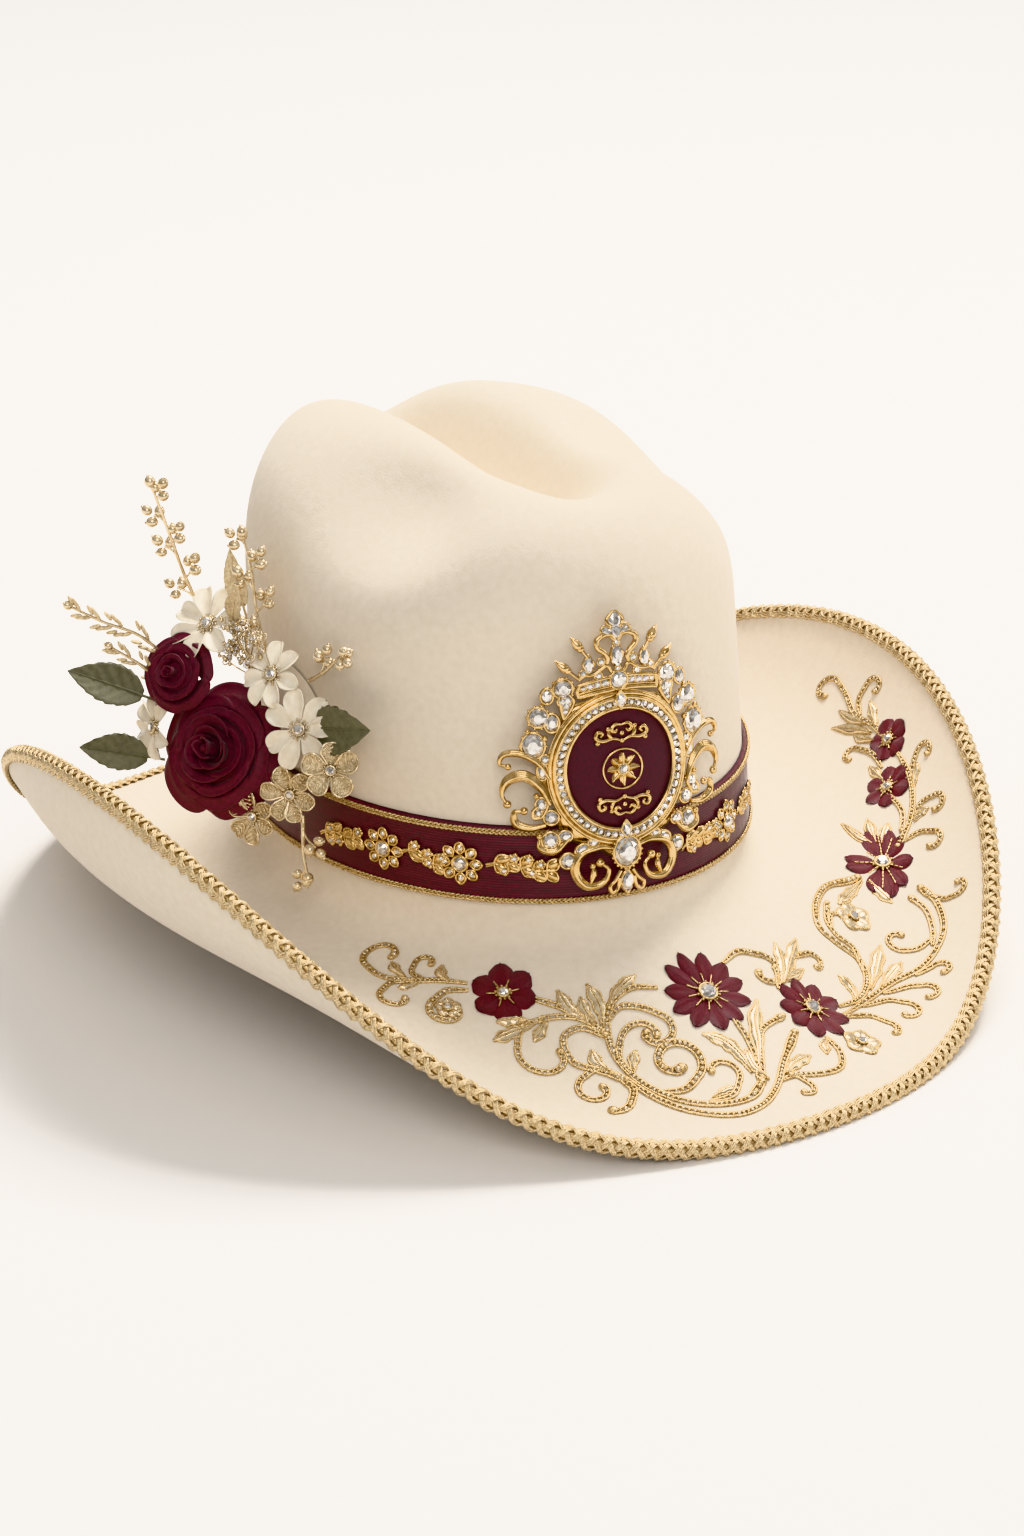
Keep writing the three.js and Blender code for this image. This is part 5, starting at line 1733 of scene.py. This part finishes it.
def make_flower(name, at, size, petals, way, gold=False, turn=0.0, replaced=None):
    shape = bmesh.new()
    matrix = facing(at, way, turn)
    for petal in range(petals):
        angle = math.tau * (petal + dice.uniform(-0.1, 0.1)) / petals
        broad = size * 3.7 / petals
        reach, cup = size * dice.uniform(0.93, 1.05), 0.12 if gold else 0.24
        cloth_petal(shape, matrix, angle, 0.12 * size, reach, broad, cup, wires=gold)
    wall(shape, 0.3)
    heart = matrix @ Matrix.Translation((0, 0, 0.06 * size))
    stone = 1.7 if gold else 2.1
    for ring, count in ((stone + 0.75, 12), (stone + 1.7, 16)):
        for bead in range(count):
            angle = math.tau * bead / count
            spot = Vector((ring * math.cos(angle), ring * math.sin(angle), 0.7 - 0.3 * ring / stone))
            add_bead(shape, heart @ Matrix.Translation(spot), 0.5, material=1)
    top = heart @ Matrix.Translation((0, 0, 0.9))
    add_cords(shape, [ring_path(top, stone, steps=18)], 0.45, closed=True, material=1)
    add_bead(shape, heart, stone, (1, 1, 0.5), material=1, fine=True)
    add_stone(shape, top, stone, material=2)
    finishes = [CHAMPAGNE if gold else CREAM, BERRY, CRYSTAL]
    listed = [name] if replaced is None else replaced
    return make_piece(name, shape, listed, "gold_metal" if gold else "cream_fabric", finishes)


make_flower("cream_flower_front", (-101, -20, 71), 14.5, 7, turn=0.3, way=(-0.7, -0.6, 0.4))
make_flower("cream_flower_upper", (-102, -4, 87), 12.5, 7, turn=0.1, way=(-0.8, -0.3, 0.6))
make_flower("cream_flower_top", (-106, 34, 95), 15.5, 7, turn=0.6, way=(-0.7, -0.2, 0.75))
make_flower("cream_flower_back", (-125, 42, 56), 13.0, 7, turn=0.2, way=(-0.9, 0.1, 0.2), replaced=[])
make_flower("gold_flower_front", (-98, -36, 60), 10.8, 5, gold=True, way=(-0.6, -0.7, 0.35))
make_flower("gold_flower_middle", (-106, -21, 47), 10.4, 6, gold=True, turn=0.4, way=(-0.75, -0.6, 0.2))
make_flower("gold_flower_lower", (-112, -5, 34), 10.2, 6, gold=True, turn=0.2, way=(-0.9, -0.4, 0.1))
print("flowers:", [name for name in pieces if "_flower_" in name])

# %% [markdown]
# A leaf is folded along its midrib and curls down at its tip, with a shallow furrow for each side
# vein and small teeth at the edge.

# %% Leaves
LEAF_TEETH, LEAF_CURL = 7, 0.12


def make_leaf(name, start, end, width, way, cloth=OLIVE, slot="olive_leaf", replaced=None):
    start, end = Vector(start), Vector(end)
    along = end - start
    across_way = along.cross(Vector(way)).normalized()
    up = across_way.cross(along).normalized()
    shape = bmesh.new()

    def place(u, v):
        across = 2 * u - 1
        body = math.sin(math.pi * min(1.0, 0.04 + 0.96 * v) ** 0.8) ** 0.9
        tooth = 1 + 0.05 * (2 * ((v * LEAF_TEETH) % 1) - 1) * abs(across)
        side = across * width * body * tooth
        vein = 0.035 * width * math.cos(math.tau * (v * 6 - 1.6 * abs(across))) * math.sin(math.pi * v)
        fold = 0.26 * abs(side) + vein
        return start + along * v + across_way * side + up * (fold - LEAF_CURL * along.length * v**2)

    bent_grid(place, 12, 28, shape=shape, material=0)
    wall(shape, 0.35)
    rib = [place(0.5, step / 12) + up * 0.1 for step in range(13)]
    stalk = [start - along * 0.25, *rib]
    add_cords(shape, [stalk], 0.5, sides=6, radii=lambda share: 1.1 - 0.8 * share)
    return make_piece(name, shape, [name] if replaced is None else replaced, slot, [cloth])


make_leaf("leaf_front", (-96, -24, 72), (-93, -50, 79), 9.0, (-0.8, -0.4, 0.2))
make_leaf("leaf_back_upper", (-128, 46, 68), (-148, 66, 77), 8.0, (-0.5, -0.6, 0.7))
make_leaf("leaf_back_lower", (-130, 40, 46), (-150, 56, 50), 7.0, (-0.5, -0.6, 0.6), replaced=[])
GILDED = {"way": (-0.8, -0.5, 0.1), "cloth": CHAMPAGNE, "slot": "champagne_leaf"}
make_leaf("leaf_top", (-97, 24, 104), (-101, 28, 125), 4.6, **GILDED)
make_leaf("leaf_top_small", (-104, 20, 102), (-110, 8, 118), 3.6, replaced=[], **GILDED)
print("leaves:", [name for name in pieces if name.startswith("leaf")])

# %% [markdown]
# A spray is knotted gold wire. Side twigs leave it left and right, and each carries three berries
# with small caps or three long buds. Between them the wire has thicker knots, which a varying cord
# radius gives.

# %% Sprays
def berry(shape, at, way, size):
    seat = facing(at, way)
    add_bead(shape, seat, size, (1, 1, 1.12), fine=True)
    add_bead(shape, seat @ Matrix.Translation((0, 0, size * 1.05)), size * 0.34)


def berry_twig(shape, root, tip, size):
    root, tip = Vector(root), Vector(tip)
    way = (tip - root).normalized()
    side = way.cross(Vector(OUTWARD)).normalized()
    middle = root.lerp(tip, 0.5) + side * 0.6
    add_cords(shape, [smooth_path([root, middle, tip], 4)], 0.42, sides=6)
    spots = [(way * 1.5, way)]
    spots += [(out * 1.15 - way * 0.4, out + way) for out in (side, -side)]
    for offset, look in spots:
        berry(shape, tip + offset * size, look, size * dice.uniform(0.85, 1.05))


def make_spray(name, route, twigs, size=2.1, buds=False, replaced=None):
    shape = bmesh.new()
    path = smooth_path(route, 8)

    def knots(share):
        return 1.05 - 0.35 * share + 0.35 * max(0.0, math.sin(share * 90)) ** 6

    add_cords(shape, [path], 0.72, sides=8, radii=knots)
    last = len(path) - 1
    for number in range(twigs):
        share = 0.22 + 0.70 * number / max(1, twigs - 1)
        step = min(last - 1, int(share * last))
        here, way = path[step], (path[step + 1] - path[step]).normalized()
        side = way.cross(Vector(OUTWARD)).normalized() * (1 if number % 2 else -1)
        reach = (8.5 - 4.5 * share) * dice.uniform(0.85, 1.1)
        if not buds:
            berry_twig(shape, here, here + (way * 0.85 + side * 0.75).normalized() * reach, size)
            continue
        for offset in (0.5, 1.0, 1.5):
            lean = (way * (0.8 + 0.3 * offset) + side * (1.1 - 0.4 * offset)).normalized()
            bud = facing(here + lean * reach * 0.75 * offset, way + side * 0.6)
            add_bead(shape, bud, size * 0.8, (0.85, 0.55, 1.7), fine=True, material=1)
        add_cords(shape, [[here, here + (way + side * 0.7).normalized() * reach]], 0.36, sides=6)
    end_way = (path[-1] - path[-3]).normalized()
    berry(shape, path[-1] + end_way * size * 0.8, end_way, size)
    listed = [name] if replaced is None else replaced
    return make_piece(name, shape, listed, "gold_berry", [BERRY, CHAMPAGNE])


make_spray("spray_upper", [(-100, 42, 88), (-108, 46, 110), (-114, 46, 128), (-120, 48, 148)], 6)
make_spray("spray_back", [(-112, 40, 74), (-126, 48, 90), (-140, 52, 98), (-152, 54, 106)], 8,
           size=1.7, buds=True)
make_spray("spray_front", [(-93, -14, 86), (-91, -22, 92), (-90, -28, 98), (-91, -34, 103)], 2)
make_spray("spray_hanging", [(-104, -26, 40), (-106, -29, 32), (-107, -31, 26), (-107, -33, 20)], 2)
make_spray("spray_middle", [(-95, 8, 84), (-97, 14, 102), (-97, 17, 118), (-98, 21, 132)], 5, replaced=[])
make_spray("spray_back_low", [(-114, 42, 66), (-128, 46, 80), (-138, 50, 88)], 5,
           size=1.6, buds=True, replaced=[])
print("sprays:", [name for name in pieces if name.startswith("spray")])

# %% [markdown]
# Behind the cream flowers a cluster of fine champagne filigree fills the gap: many small beads and
# short loops of wire on a few stems.

# %% Filler
def make_filler():
    shape = bmesh.new()
    for _ in range(16):
        root = Vector((-97, 10, 78)) + Vector((dice.uniform(-2, 2), dice.uniform(-6, 6), 0))
        tip = Vector((-101, 12, 92))
        tip += Vector((dice.uniform(-6, 1), dice.uniform(-11, 11), dice.uniform(-7, 9)))
        bend = root.lerp(tip, 0.6) + Vector((-2, 0, 1))
        add_cords(shape, [smooth_path([root, bend, tip], 4)], 0.32, sides=5)
        for _ in range(9):
            off = Vector((dice.uniform(-3, 1.5), dice.uniform(-3.2, 3.2), dice.uniform(-3, 3)))
            size = dice.uniform(0.55, 1.05)
            add_bead(shape, Matrix.Translation(tip + off), size, material=dice.choice((0, 0, 1)))
        loop = ring_path(facing(tip, OUTWARD, dice.uniform(0, 3)), 2.3, 1.3, steps=12)
        add_cords(shape, [loop], 0.3, sides=5, closed=True)
    return make_piece("champagne_filler", shape, [], "champagne_leaf", [BERRY, CRYSTAL])


make_filler()
print("filler faces:", pieces["champagne_filler"])

# %% [markdown]
# ## Inside the hat
#
# A leather sweatband is sewn in at the foot of the crown, with a thin reed along its lower edge and
# two rows of stitching. A satin liner covers the rest of the inside. Both follow the felt's own
# surface at a lift inside it, which is why a lift can be negative.

# %% Sweatband, reed and liner
LEATHER_FACE = -FELT_THICKNESS - 0.4
SWEATBAND = {"low": 3, "high": 38}
ROW_STITCHES = 150


def inside_point(angle, height, depth):
    """A point inside the crown at a height, a distance in from the felt's outer face."""
    here = wall_point(angle, height)
    along = (wall_point(angle + STEP, height) - here).normalized()
    up = (wall_point(angle, height + STEP) - here).normalized()
    return here - along.cross(up).normalized() * depth


def sew_sweatband():
    low, high = SWEATBAND["low"], SWEATBAND["high"]

    def place(u, v):
        puff = 0.25 * math.sin(math.pi * v) + 0.12 * math.sin(u * 170) * (1 - v)
        return inside_point(-u * math.tau, low + (high - low) * v, -LEATHER_FACE + 0.3 - puff + 0.4)

    shape = bent_grid(place, 240, 10, closed=True)
    band = make_piece("leather_sweatband", shape, ["sweatband"], "sweatband_leather", [LEATHER], weld=False)
    thick = band.modifiers.new("thickness", "SOLIDIFY")
    thick.thickness, thick.offset = 0.7 * MM, 0
    stitches = bmesh.new()
    rows = []
    for height in (low + 2.5, low + 4.5):
        for stitch in range(ROW_STITCHES):
            start = math.tau * stitch / ROW_STITCHES
            ends = [start + 0.028 * share for share in (0.0, 0.5, 1.0)]
            rows.append([inside_point(angle, height, -LEATHER_FACE + 1.15) for angle in ends])
    add_cords(stitches, rows, 0.25, sides=4)
    make_piece("sweatband_stitching", stitches, [], "gold_thread", [BRAID_THREAD])
    reed = bmesh.new()
    ring = [inside_point(math.tau * step / 160, low - 1.5, -LEATHER_FACE + 0.9) for step in range(160)]
    add_cords(reed, [ring], 0.75, sides=8, closed=True)
    make_piece("reed", reed, ["sweatband_reed"], "sweatband_leather", [LEATHER])
    return band


sew_sweatband()
print("stitches:", 2 * ROW_STITCHES)

# %% [markdown]
# The liner is gathered a little, so its satin has soft radial folds that fade towards the tip.

# %% Liner
LINER_DEPTH = FELT_THICKNESS + 2.6


def sew_liner():
    def place(u, v):
        angle = -u * math.tau
        level = 0.21 + 0.785 * v
        here = crown_point(angle, level)
        along = (crown_point(angle + STEP, level) - here).normalized()
        up = (crown_point(angle, min(0.999, level + STEP)) - crown_point(angle, level - STEP)).normalized()
        fold = 0.35 * math.sin(angle * 60) * math.sin(math.pi * v) ** 0.5
        return here - along.cross(up).normalized() * (LINER_DEPTH + fold)

    shape = bent_grid(place, 300, 60, closed=True)
    piece = make_piece("satin_lining", shape, ["satin_liner"], "liner_satin", [LINER], weld=False)
    thick = piece.modifiers.new("thickness", "SOLIDIFY")
    thick.thickness, thick.offset = 0.4 * MM, 0
    return piece


sew_liner()
print("liner depth:", round(LINER_DEPTH, 1), "mm inside the felt's outer face")

# %% Measure and finish
print("pieces:", len(pieces), "faces:", sum(pieces.values()))
